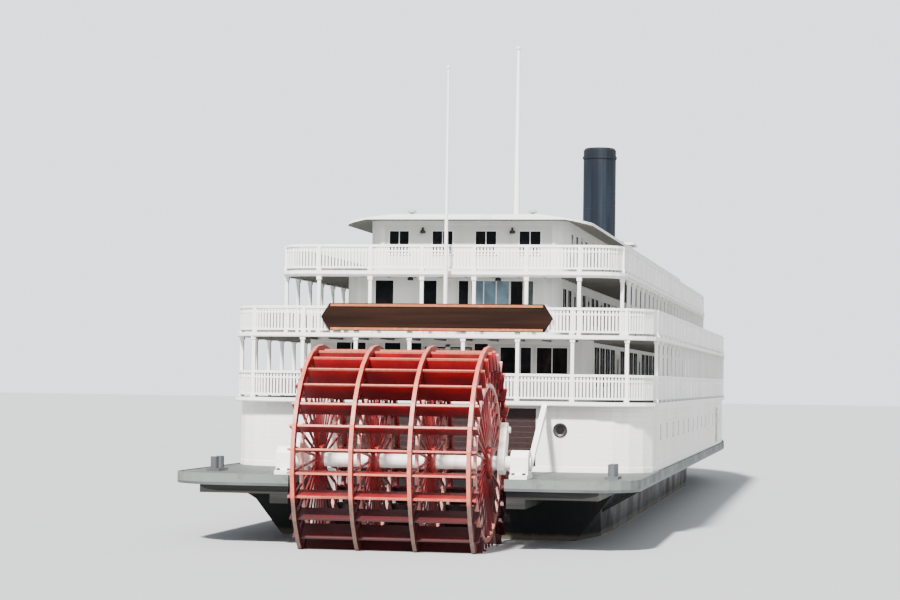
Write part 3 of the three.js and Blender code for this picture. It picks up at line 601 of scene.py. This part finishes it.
NODE_PAINTS = {
    "guard": ["main_deck"],
    "beam": ["stern_beam"],
    "hull": ["hull", "rudder_port", "rudder_middle", "rudder_starboard"],
    "timber": ["wing_timbers_port", "wing_timbers_starboard"],
    "deck": ["saloon_deck", "cabin_deck", "upper_deck"],
    "roof": ["roof", "pilothouse_roof"],
    "main_wall": ["main_house", "boarding_wall_port", "boarding_wall_starboard"],
    "wall": ["saloon_house", "saloon_stern_wall", "cabin_house", "upper_house", "pilothouse",
             "stack_casing"],
    "bucket": ["wheel_buckets"],
    "arm": [f"wheel_frame_{k + 1}" for k in range(len(FRAME_YS))],
    "shaft": ["wheel_shaft"],
    "stack": ["stack"],
    "sign": ["sign_board"],
    "iron": ["capstan", "bitts_fore_port", "bitts_fore_starboard"],
    "strake": ["bitts_aft_port", "bitts_aft_starboard"],
    "door": ["boarding_door_port", "boarding_door_starboard", "saloon_door_port", "saloon_door_starboard"],
}


def paint_nodes():
    by_node = {node: PAINTS[paint] for paint, nodes in NODE_PAINTS.items() for node in nodes}
    for name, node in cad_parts.items():
        material = by_node.get(name, PAINTS["trim"])
        if not node.material_slots:
            node.data.materials.append(material)
        for slot in node.material_slots:
            slot.material = material


# Rails: balusters, lower rails, the posts that the CAD doesn't have, and a drip edge

RAILS = [
    # name, deck, height of its floor, and the height of the ceiling that its posts carry, if they do
    ("saloon", SALOON_DECK, SALOON_Z, CABIN_Z - PLATE),
    ("cabin", CABIN_DECK, CABIN_Z, None),
    ("upper", UPPER_DECK, UPPER_Z, None),
]
BALUSTER_PITCH = 0.14
BALUSTER = {"width": 0.08, "depth": 0.035}
LOWER_RAIL = (0.1, 0.17)  # its two faces over the floor


def make_posts(name, spec, inset, floor, high, capped):
    """Posts along a deck's edge, except those of the CAD, and the bases and caps of them all."""
    run = [(spec.aft + inset, POST_SPACING / 2)] + port_edge(spec, inset)
    half = POST / 2
    base = half + 0.03
    posts = Piece(name, "trim")
    for k, (x, port_y, *_) in enumerate(edge_points(run, POST_SPACING)):
        in_cad = k < STERN_POSTS or k % 2 == 0
        if port_y <= half:
            continue
        for y in (port_y, -port_y):
            if not in_cad:
                posts.box(x - half, x + half, y - half, y + half, floor, high)
            posts.box(x - base, x + base, y - base, y + base, floor, floor + 0.12)
            if capped:
                posts.box(x - base, x + base, y - base, y + base, high - 0.14, high)
    posts.finish()


def make_rails():
    for name, spec, floor, ceiling in RAILS:
        middle = RAIL_INSET + RAIL_WIDTH / 2
        under, over = (floor + height for height in LOWER_RAIL)
        top = floor + RAIL_HEIGHT - RAIL_DEPTH
        across = BALUSTER["width"] / 2
        deep = BALUSTER["depth"] / 2
        rails = Piece(name + "_balusters", "rail")
        for x, y, ux, uy in edge_points(whole_edge(spec, middle), BALUSTER_PITCH):
            for side in (1, -1):
                if side < 0 and y < across:
                    continue
                wall = ((x, y * side), (ux, uy * side), (uy * side, -ux))
                rails.local_box(wall, (-across, across), (-deep, deep), (under, top))
        rails.strip(whole_edge(spec, RAIL_INSET + 0.03), 0.06, under, over)
        rails.strip(whole_edge(spec, RAIL_INSET + 0.035), 0.05, top - 0.2, top - 0.14)
        rails.finish()
        make_posts(name + "_posts", spec, middle, floor, ceiling or floor + RAIL_HEIGHT, bool(ceiling))
        edge = Piece(name + "_drip_edge", "trim")
        edge.strip(whole_edge(spec, 0.02), 0.08, floor - PLATE - 0.03, floor - PLATE)
        edge.finish()


def make_upper_posts():
    """The posts that stand on the cabin deck and carry the upper one."""
    line = EDGE_BEAM["inset"] + EDGE_BEAM["width"] / 2
    high = UPPER_Z - PLATE - EDGE_BEAM["depth"]
    make_posts("upper_deck_posts", UPPER_DECK, line, CABIN_Z, high, True)


CEILINGS = [
    # deck, the house below it, and the height of its underside
    (CABIN_DECK, SALOON_HOUSE, CABIN_Z - PLATE),
    (UPPER_DECK, CABIN_HOUSE, UPPER_Z - PLATE),
]
BEAM_PITCH = 1.1
BEAM = {"width": 0.07, "depth": 0.1}


def make_ceilings():
    """Deck beams under each overhang, from the house to the deck's edge."""
    # The beams take the dark ceiling paint: painted shade.
    beams = Piece("deck_beams", "ceiling")
    for deck, house, under in CEILINGS:
        low = under - BEAM["depth"]
        half = BEAM["width"] / 2
        x = house.aft + 0.6
        while x < SHOULDER_X:
            for side in (1, -1):
                ends = sorted((side * (house.half + 0.02), side * (deck.half - 0.25)))
                beams.box(x - half, x + half, *ends, low, under)
            x += BEAM_PITCH
        y = -house.half + 0.6
        while y < house.half:
            beams.box(deck.aft + 0.25, house.aft - 0.02, y - half, y + half, low, under)
            y += BEAM_PITCH
    beams.finish()


# Windows and doors on the houses

SILL = 0.08
FIXED_DOOR = {"width": 0.8, "high": 2.05, "trim": 0.08}


def add_frame(frames, wall, half, trim, depth, foot, top):
    """The two jambs of an opening and its head."""
    for span in ((-half - trim, -half), (half, half + trim)):
        frames.local_box(wall, span, depth, (foot, top + trim))
    frames.local_box(wall, (-half, half), depth, (top, top + trim))


def add_window(panes, frames, wall, width, low, high, bars, trim=0.07):
    """A glazed window with its frame, sill and glazing bars, flat on a wall's face."""
    half = width / 2
    bar = 0.02
    panes.local_box(wall, (-half, half), (-0.02, 0.02), (low, high))
    add_frame(frames, wall, half, trim, (-0.02, 0.03), low - trim, high)
    frames.local_box(wall, (-half - 1.5 * trim, half + 1.5 * trim), (-0.02, 0.06), (low - trim, low))
    across, up = bars
    for k in range(across):
        s = -half + width * (k + 1) / (across + 1)
        frames.local_box(wall, (s - bar, s + bar), (0, 0.026), (low, high))
    for k in range(up):
        z = low + (high - low) * (k + 1) / (up + 1)
        frames.local_box(wall, (-half, half), (0, 0.025), (z - bar, z + bar))


def add_door(leaves, frames, panes, wall, floor):
    """A panelled door that stays shut, in its frame, with a light in its upper half."""
    half = FIXED_DOOR["width"] / 2
    top = floor + FIXED_DOOR["high"]
    leaves.local_box(wall, (-half, half), (-0.02, 0.025), (floor + SILL, top))
    add_frame(frames, wall, half, FIXED_DOOR["trim"], (-0.02, 0.05), floor, top)
    panes.local_box(wall, (-half + 0.16, half - 0.16), (0, 0.035), (floor + 1.15, floor + 1.85))
    for z0, z1 in ((0.25, 0.55), (0.65, 0.95)):
        leaves.local_box(wall, (-half + 0.14, half - 0.14), (0, 0.04), (floor + z0, floor + z1))


STERN_WINDOWS = [
    # house, sill and head above the water, and for each: paint, y, width, upright bars
    (UPPER_HOUSE, 11.75, 12.72, [
        ("dark_glass", 3.05, 0.85, 1),
        ("dark_glass", 1.12, 0.88, 1),
        ("dark_glass", -0.8, 0.9, 1),
        ("dark_glass", -2.74, 0.92, 1),
    ]),
    (CABIN_HOUSE, 9.35, 10.38, [
        ("dark_glass", 2.88, 0.76, 0),
        ("dark_glass", 0.95, 0.6, 0),
        ("dark_glass", -0.5, 0.4, 0),
        ("blue_glass", -1.62, 1.6, 2),
        ("dark_glass", -2.75, 0.5, 0),
        ("pilot_glass", -3.3, 0.28, 0),
    ]),
    (SALOON_HOUSE, 6.5, 7.74, [
        ("dark_glass", 4.12, 1.24, 1),
        ("dark_glass", 2.35, 0.66, 0),
        ("dark_glass", 1.4, 0.55, 0),
        ("dark_glass", -1.4, 0.55, 0),
    ]),
    (SALOON_HOUSE, 6.5, 7.6, [
        ("dark_glass", -2.56, 0.7, 0),
        ("dark_glass", -3.27, 0.42, 0),
        ("dark_glass", -4.36, 1.26, 1),
    ]),
]

LAMPS = [
    # house, y and height above the water
    (UPPER_HOUSE, 1.98, 12.74),
    (UPPER_HOUSE, -1.98, 12.74),
    (CABIN_HOUSE, 1.75, 10.5),
    (CABIN_HOUSE, -1.98, 10.5),
]
LAMP_OUT = 0.16

HOUSE_SIDES = [
    # name, paint, house, floor, window width, sill and head above the floor, bars, bays between doors, bay
    ("saloon", "dark_glass", SALOON_HOUSE, SALOON_Z, 1.8, 0.6, 2.25, (1, 0), 4, 2.15),
    ("cabin", "dark_glass", CABIN_HOUSE, CABIN_Z, 1.15, 0.75, 2.05, (1, 0), 2, 1.75),
    ("upper", "glass", UPPER_HOUSE, UPPER_Z, 0.75, 0.95, 1.95, (0, 1), 2, 1.75),
]
NARROWEST_FACET = 0.75  # with a window
NARROW_FACET = 1.2  # below which only every other one has a window
MAIN_WINDOWS = {"facet": 1.6, "bay": 3.3, "width": 0.7, "sill": 1.25, "head": 1.95}
PORTHOLE_Y = 5.03
PORTHOLE_Z = 6.03
BOARDING_X = 12  # the middle of the boarding doors, and how near it a window may be
BOARDING_CLEAR = 2.2


def bays(a, b, pitch):
    """Even bays along a facet and its mirror image: the number, the count and the wall's place there."""
    length = math.dist(a, b)
    ux, uy = (b[0] - a[0]) / length, (b[1] - a[1]) / length
    count = max(1, round(length / pitch))
    for k in range(count):
        t = length * (k + 0.5) / count
        x, y = a[0] + ux * t, a[1] + uy * t
        for side in (1, -1):
            yield k, count, ((x, y * side), (ux, uy * side), (-uy, ux * side))


def make_house_fronts():
    """Windows and doors along the sides and the front of the upper three houses."""
    for name, glass, spec, floor, width, sill, head, bars, doors_every, pitch in HOUSE_SIDES:
        panes = Piece(name + "_panes", glass)
        frames = Piece(name + "_frames", "trim")
        leaves = Piece(name + "_doors", "door")
        edge = port_edge(spec)
        for facet, (a, b) in enumerate(zip(edge, edge[1:])):
            length = math.dist(a, b)
            if length < NARROWEST_FACET or (length < NARROW_FACET and facet % 2):
                continue
            for k, count, wall in bays(a, b, pitch):
                if k % (doors_every + 1) == doors_every and count > 3:
                    add_door(leaves, frames, panes, wall, floor)
                else:
                    fits = min(width, length / count - 0.35)
                    add_window(panes, frames, wall, fits, floor + sill, floor + head, bars)
        for piece in (panes, frames, leaves):
            piece.finish()


def make_stern_walls():
    """The windows of the three stern walls, the trim at their corners and under the decks, and lamps."""
    frames = Piece("stern_frames", "trim")
    panes = {paint: Piece("stern_" + paint, paint) for paint in ("dark_glass", "blue_glass", "pilot_glass")}
    for house, low, high, openings in STERN_WINDOWS:
        for paint, y, width, upright in openings:
            wall = ((house.aft, y), (0, -1), (-1, 0))
            add_window(panes[paint], frames, wall, width, low + WATER_Z, high + WATER_Z, (upright, 0), 0.05)
    for house, low, high in (
        (UPPER_HOUSE, UPPER_Z, ROOF_Z - ROOF_PLATE),
        (CABIN_HOUSE, CABIN_Z, UPPER_Z - PLATE),
        (SALOON_HOUSE, SALOON_Z, CABIN_Z - PLATE),
    ):
        flat = house.half - house.corner[1]
        face = house.aft
        frames.box(face - 0.05, face + 0.01, -flat, flat, high - 0.2, high)
        for y in (-flat, flat):
            frames.box(face - 0.04, face + 0.01, y - 0.08, y + 0.08, low, high)
    frames.finish()
    for piece in panes.values():
        piece.finish()
    lamps = Piece("wall_lamps", "iron", smooth=True)
    shade = [(0, 0), (0.05, 0), (0.05, 0.1), (0.12, 0.16), (0.12, 0.26), (0, 0.26)]
    for house, y, height in LAMPS:
        z = height + WATER_Z
        x = house.aft - LAMP_OUT
        lamps.revolve((x, y, z + 0.14), (0, 0, -1), shade, 12)
        lamps.bar((house.aft, y, z + 0.1), (x, y, z + 0.12), 0.05, 0.05)
    lamps.finish()


def make_main_house():
    """High windows along the main deck's house, its trim, and a porthole on each side of the wheel."""
    panes = Piece("main_panes", "glass")
    frames = Piece("main_frames", "trim")
    edge = port_edge(MAIN_HOUSE)
    low, high = MAIN_Z + MAIN_WINDOWS["sill"], MAIN_Z + MAIN_WINDOWS["head"]
    for a, b in zip(edge, edge[1:]):
        if math.dist(a, b) < MAIN_WINDOWS["facet"]:
            continue
        for _, _, wall in bays(a, b, MAIN_WINDOWS["bay"]):
            if abs(wall[0][0] - BOARDING_X) >= BOARDING_CLEAR:
                add_window(panes, frames, wall, MAIN_WINDOWS["width"], low, high, (1, 0))
    outside = whole_edge(MAIN_HOUSE, -0.03)
    frames.strip(outside, 0.05, MAIN_Z, MAIN_Z + 0.2)
    frames.strip(outside, 0.05, SALOON_Z - PLATE - 0.15, SALOON_Z - PLATE)
    rings = Piece("porthole_rings", "iron", smooth=True)
    ports = Piece("porthole_panes", "dark_glass")
    ring = [(0.17, -0.02), (0.29, -0.02), (0.29, 0.04), (0.25, 0.07), (0.17, 0.04), (0.17, -0.02)]
    for side in (1, -1):
        origin = (MAIN_HOUSE.aft, PORTHOLE_Y * side, PORTHOLE_Z)
        rings.revolve(origin, (-1, 0, 0), ring, 24)
        ports.revolve(origin, (-1, 0, 0), [(0, -0.02), (0.18, -0.02), (0.18, 0.02), (0, 0.02)], 24)
    for piece in (panes, frames, rings, ports):
        piece.finish()


# Sign border: a copper strip along the top and the bottom of the blank board

SIGN = {"half": 4.4, "low": 9.92, "high": 11.04, "thick": 0.12}
BORDER = 0.1


def make_sign():
    aft = CABIN_DECK.aft + RAIL_INSET + RAIL_WIDTH / 2 - POST / 2 - SIGN["thick"]
    half = SIGN["half"] - 0.05
    border = Piece("sign_border", "copper")
    for z in (SIGN["low"] + 0.03, SIGN["high"] - 0.03 - BORDER):
        border.box(aft - 0.03, aft + 0.02, -half, half, z, z + BORDER)
    border.finish()


# Doors that open: panes, panels and handles that ride on their leaves

DOORS = [
    # body, the wall from the foot of the hinge jamb, floor, width and height of the opening
    ("port_boarding_door", ((BOARDING_X - 1, MAIN_HOUSE.half), (1, 0), (0, 1)), MAIN_Z, 1.9, 2.15),
    ("starboard_boarding_door", ((BOARDING_X - 1, -MAIN_HOUSE.half), (1, 0), (0, -1)), MAIN_Z, 1.9, 2.15),
    ("port_saloon_door", ((SALOON_HOUSE.aft, 1), (0, -1), (-1, 0)), SALOON_Z, 1, 2.1),
    ("starboard_saloon_door", ((SALOON_HOUSE.aft, -1), (0, 1), (-1, 0)), SALOON_Z, 1, 2.1),
]
GLAZED_WIDTH = 1.5  # below which a door has a pane
LEAF_FACE = -0.03


def make_doors():
    for body, wall, floor, width, height in DOORS:
        low = floor + SILL
        panels = Piece(body + "_panels", "door", body)
        near, far = 0.14, width - 0.14
        face = (LEAF_FACE - 0.01, LEAF_FACE + 0.02)
        if width < GLAZED_WIDTH:
            pane = Piece(body + "_pane", "glass", body)
            pane.local_box(wall, (near + 0.06, far - 0.06), face, (low + 1.15, low + 1.75))
            pane.finish()
            for z in (low + 1.09, low + 1.75):
                panels.local_box(wall, (near, far), (face[0], face[1] + 0.02), (z, z + 0.06))
            for z0, z1 in ((0.15, 0.3), (0.62, 0.95)):
                panels.local_box(wall, (near, far), face, (low + z0, low + z1))
        else:
            middle = low + height / 2
            panels.local_box(wall, (near, far), face, (middle - 0.06, middle + 0.06))
            for s in (near, (near + far) / 2 - 0.05, far - 0.1):
                panels.local_box(wall, (s, s + 0.1), face, (low + 0.12, low + height - 0.12))
        panels.finish()
        handle = Piece(body + "_handle", "iron", body)
        s = width - 0.2
        handle.local_box(wall, (s - 0.03, s + 0.03), (LEAF_FACE, LEAF_FACE + 0.012), (low + 0.9, low + 1.1))
        handle.local_box(wall, (s - 0.012, s + 0.012), (LEAF_FACE, 0.0), (low + 0.99, low + 1.01))
        handle.local_box(wall, (s - 0.12, s + 0.012), (-0.012, 0.0), (low + 0.985, low + 1.015))
        handle.finish()
        casing = Piece(body + "_casing", "trim")
        top = low + height
        casing.local_box(wall, (-0.1, width + 0.1), (-0.01, 0.04), (top, top + 0.1))
        casing.local_box(wall, (width, width + 0.1), (-0.01, 0.04), (floor, top))
        casing.finish()


# Pilothouse: sashes and panes in its openings, and a ledge below them

SASH = 0.06
SASH_DEPTH = (-0.11, -0.03)
PILOT_PANE_DEPTH = (-0.09, -0.06)
LEDGE_HIGH = 0.07


def make_pilothouse():
    panes = Piece("pilothouse_panes", "pilot_glass")
    sashes = Piece("pilothouse_sashes", "trim")
    low = ROOF_Z + PILOT["sill"]
    high = PILOT["high"] - PILOT["head"]

    def glaze(wall, width):
        panes.local_box(wall, (0, width), PILOT_PANE_DEPTH, (low, high))
        for s in (0, width - SASH):
            sashes.local_box(wall, (s, s + SASH), SASH_DEPTH, (low, high))
        for z in (low, (low + high) / 2 - SASH / 2, high - SASH):
            sashes.local_box(wall, (0, width), SASH_DEPTH, (z, z + SASH))

    for side in (1, -1):
        for start in (0.3, 1.5):
            glaze(((PILOT["aft"] + start, PILOT["half"] * side), (1, 0), (0, side)), 1)
        for x, out in ((PILOT["aft"], -1), (PILOT["fore"], 1)):
            glaze(((x, 0.1 * side), (0, side), (out, 0)), 0.9)
    panes.finish()
    sashes.finish()
    ledge = Piece("pilothouse_ledge", "trim")
    foot = low - LEDGE_HIGH
    for side in (1, -1):
        y = PILOT["half"] * side
        x0, x1 = PILOT["aft"] + 0.2, PILOT["fore"] - PILOT["chamfer"]
        ledge.box(x0, x1, *sorted((y - 0.01 * side, y + 0.06 * side)), foot, low)
    ledge.box(PILOT["aft"] - 0.06, PILOT["aft"] + 0.01, -1.1, 1.1, foot, low)
    ledge.box(PILOT["fore"] - 0.01, PILOT["fore"] + 0.06, -1.05, 1.05, foot, low)
    ledge.finish()


# Roof: ventilators, the seams of its covering, and the foot of the stack

ROOF_FITTINGS_X = ROOF.aft + 1.9
VENTS = 14
VENT_PITCH = 3.7
VENT_Y = 2.7
SEAM_PITCH = 2.5


def roof_top(y):
    """The height of the roof, flat in the middle and falling to its edges."""
    run = max(0.0, abs(y) - CAMBER["flat"])
    return ROOF_Z - CAMBER["drop"] * run / (ROOF.half - CAMBER["flat"])


def clear_of(x, stack_gap, mast_gap):
    """True where x is at least that far from the stack and the mast."""
    return abs(x - STACK_X) >= stack_gap and abs(x - MAST_X) >= mast_gap


def make_roof_fittings():
    vents = Piece("roof_ventilators", "vent", smooth=True)
    cowl = [(0, 0), (0.09, 0), (0.09, 0.2), (0.2, 0.22), (0.2, 0.26), (0.12, 0.34), (0, 0.36)]
    for k in range(VENTS):
        x = ROOF_FITTINGS_X + VENT_PITCH * k
        if clear_of(x, 2.5, 0.8):
            for y in (VENT_Y, -VENT_Y):
                vents.revolve((x, y, ROOF_Z), (0, 0, 1), cowl, 12)
    vents.finish()
    seams = Piece("roof_ribs", "roof")
    flat, edge = CAMBER["flat"], ROOF.half - 0.08
    x = ROOF_FITTINGS_X
    while x <= ROOF.shoulder:
        if clear_of(x, 1.6, 0.3):
            seams.box(x - 0.03, x + 0.03, -flat, flat, ROOF_Z - 0.01, ROOF_Z + 0.02)
            for side in (1, -1):
                top = (x, side * flat, ROOF_Z)
                seams.bar(top, (x, side * edge, roof_top(edge)), 0.06, 0.04, side=(1, 0, 0))
        x += SEAM_PITCH
    seams.finish()
    stack = Piece("stack_fittings", "stack", smooth=True)
    foot = [(1.0, 0.0), (1.24, 0.0), (1.24, 0.06), (1.14, 0.12), (1.14, 0.3), (1.0, 0.3), (1.0, 0.0)]
    stack.revolve((STACK_X, 0, CASING_TOP_Z), (0, 0, 1), foot, 32)
    stack.finish()


# Guard: a strake under its edge, and knees that carry it out from the hull

HULL_WIDTHS = [
    # x, half width at the knee and at the deck
    (-34.2, 6.9, 7.7),
    (-24.3, 6.7, 8.0),
    (16.0, 6.7, 8.0),
    (22.1, 6.2, 7.9),
    (28.2, 5.2, 7.0),
    (34.3, 3.6, 5.1),
]
KNEE_Z = 2.93
KNEES_AFT = -33.2
KNEE_PITCH = 2.2
KNEES = 30


def hull_width(x):
    for (x0, *low), (x1, *high) in zip(HULL_WIDTHS, HULL_WIDTHS[1:]):
        if x <= x1:
            t = (x - x0) / (x1 - x0)
            return [a + (b - a) * t for a, b in zip(low, high)]
    return HULL_WIDTHS[-1][1:]


def guard_half(x):
    t = max(0.0, (x - SHOULDER_X) / (STEM_X - SHOULDER_X))
    return HALF_BEAM * (1 - t ** BOW_POWER)


def make_guard():
    knees = Piece("guard_knees", "timber")
    for k in range(KNEES):
        x = KNEES_AFT + KNEE_PITCH * k
        knee, deck = hull_width(x)
        reach = guard_half(x) - 0.2
        if reach < deck + 0.3:
            continue
        for side in (1, -1):
            foot = (x, side * (knee - 0.1), KNEE_Z - 0.05)
            knees.bar(foot, (x, side * reach, DECK_UNDER_Z - 0.1), 0.16, 0.14, side=(1, 0, 0))
            ends = sorted((side * (deck - 0.1), side * reach))
            knees.box(x - 0.08, x + 0.08, *ends, DECK_UNDER_Z - 0.14, DECK_UNDER_Z)
    knees.finish()
    strake = Piece("guard_strake", "strake")
    strake.strip(guard_edge(0.005), 0.12, DECK_UNDER_Z - 0.1, DECK_UNDER_Z)
    strake.finish()
    lip = Piece("guard_lip", "guard")
    lip.strip(guard_edge(0.01), 0.1, MAIN_Z, MAIN_Z + 0.03)
    lip.finish()


# Wheel: bolts, hub flanges, and straps where the boards meet the arms

STRAP = (3.46, 4.0)  # distances from the wheel's axis, as are the next
STRAP_BOLTS = (3.6, 3.9)
HUB_BOLTS = 10
HUB_BOLT_R = 0.5
BEARING_BOLTS = (0.63, 0.2)


def bolt_head(r, high):
    return [(0, -0.01), (r, -0.01), (r, high), (0, high)]


def make_wheel_fittings():
    body = "paddle_wheel"
    straps = Piece("wheel_straps", "arm", body)
    bolts = Piece("wheel_bolts", "iron", body)
    head = bolt_head(0.045, 0.03)
    for k in range(BUCKETS):
        angle = math.radians(FIRST_ANGLE + 360 / BUCKETS * k)
        out = Vector((math.cos(angle), 0, math.sin(angle)))
        across = Vector((-math.sin(angle), 0, math.cos(angle)))
        for y in FRAME_YS:
            centre = Vector((WHEEL_X, y, WHEEL_Z))
            face = centre + across * 0.045
            straps.bar(face + out * STRAP[0], face + out * STRAP[1], 0.12, 0.03)
            for r in STRAP_BOLTS:
                bolts.revolve(centre + out * r + across * 0.06, across, head, 6)
    straps.finish()
    flange = [(0.26, 0), (0.58, 0), (0.58, 0.05), (0.4, 0.09), (0.26, 0.09), (0.26, 0)]
    hubs = Piece("hub_flanges", "hub", body, smooth=True)
    for y in FRAME_YS:
        for side in (1, -1):
            hubs.revolve((WHEEL_X, y + 0.11 * side, WHEEL_Z), (0, side, 0), flange, 24)
            for k in range(HUB_BOLTS):
                a = math.tau * k / HUB_BOLTS
                x, z = WHEEL_X + HUB_BOLT_R * math.cos(a), WHEEL_Z + HUB_BOLT_R * math.sin(a)
                bolts.revolve((x, y + 0.16 * side, z), (0, side, 0), head, 6)
    hubs.finish()
    bolts.finish()


def make_bearing_fittings():
    bolts = Piece("bearing_bolts", "iron")
    along, across = BEARING_BOLTS
    for side in (1, -1):
        for dx in (-along, along):
            for dy in (-across, across):
                place = (WHEEL_X + dx, BEARING_Y * side + dy, MAIN_Z + 0.16)
                bolts.revolve(place, (0, 0, 1), bolt_head(0.07, 0.07), 6)
    bolts.finish()


# Foredeck: a hatch abaft the stem, and its boards

HATCH = {"aft": 38.3, "fore": 39.5, "half": 0.62, "high": 0.28}
HATCH_BOARDS = 6
HATCH_BOARD = 0.22


def make_foredeck():
    top = MAIN_Z + HATCH["high"]
    hatch = Piece("fore_hatch", "timber")
    hatch.box(HATCH["aft"], HATCH["fore"], -HATCH["half"], HATCH["half"], MAIN_Z, top)
    hatch.finish(bevel=0.03)
    cover = Piece("hatch_boards", "door")
    for k in range(HATCH_BOARDS):
        y = (k - HATCH_BOARDS / 2) * HATCH_BOARD
        cover.box(HATCH["aft"] - 0.06, HATCH["fore"] + 0.06, y + 0.01, y + 0.21, top, top + 0.06)
    cover.finish()


# Stage, light and camera

PHOTO_FOCAL = 600.0  # of the photograph, in its pixels
CROP_WIDTH = 244.0  # of the photograph's part that the frame shows
CAMERA_PLACE = (-12.052, -1.63, 0.795)
CAMERA_AIM = (1.0, 0.1795, 0.037)
CAMERA_ROLL = 0.8  # degrees, with which level lines fall to the right
SENSOR_WIDTH = 36

SUNS = [
    # name, the way its light goes, strength, angle across and colour
    ("key", (0.66, -0.14, -0.76), 13.0, 5, (1.0, 0.98, 0.94)),
    ("fill", (0.8, 0.45, -0.4), 1.2, 40, (0.94, 0.97, 1.0)),
]


def make_stage():
    """A wide grey floor at the height of the water."""
    n = Nodes("studio_floor")
    colour = n.mix(n.noise(0.6, 2.0), (0.40, 0.41, 0.42), (0.44, 0.45, 0.46))
    mesh = bpy.data.meshes.new("floor")
    reach = 60.0
    corners = [(-reach, -reach), (reach, -reach), (reach, reach), (-reach, reach)]
    mesh.from_pydata([(x, y, WATER_Z * M) for x, y in corners], [], [(0, 1, 2, 3)])
    mesh.materials.append(n.finish(colour, 0.75))
    floor = add_object("floor", mesh)


def make_light():
    """A pale sky, brighter to look at than as a light, a high sun from astern and a weak fill."""
    world = bpy.data.worlds.new("studio")
    world.use_nodes = True
    tree = world.node_tree
    sky = tree.nodes["Background"]
    sky.inputs["Color"].default_value = (0.86, 0.91, 0.97, 1)
    path = tree.nodes.new("ShaderNodeLightPath")
    glow = tree.nodes.new("ShaderNodeMapRange")
    glow.inputs["To Min"].default_value = 0.85
    glow.inputs["To Max"].default_value = 2.3
    tree.links.new(path.outputs["Is Camera Ray"], glow.inputs["Value"])
    tree.links.new(glow.outputs["Result"], sky.inputs["Strength"])
    bpy.context.scene.world = world
    for name, aim, strength, angle, colour in SUNS:
        data = bpy.data.lights.new(name, "SUN")
        data.energy = strength
        data.angle = math.radians(angle)
        data.color = colour
        light = add_object(name, data)
        light.rotation_euler = Vector(aim).to_track_quat("-Z", "Y").to_euler()


def make_camera():
    data = bpy.data.cameras.new("camera")
    data.sensor_width = SENSOR_WIDTH
    data.lens = SENSOR_WIDTH * PHOTO_FOCAL / CROP_WIDTH
    data.clip_end = 400
    camera = add_object("camera", data)
    camera.location = CAMERA_PLACE
    level = Vector(CAMERA_AIM).to_track_quat("-Z", "Y").to_matrix()
    camera.rotation_euler = (level @ Matrix.Rotation(math.radians(CAMERA_ROLL), 3, "Z")).to_euler()
    bpy.context.scene.camera = camera


make_camera()
make_stage()
make_light()
paint_nodes()
make_rails()
make_upper_posts()
make_ceilings()
make_house_fronts()
make_stern_walls()
make_main_house()
make_sign()
make_doors()
make_pilothouse()
make_roof_fittings()
make_guard()
make_wheel_fittings()
make_bearing_fittings()
make_foredeck()
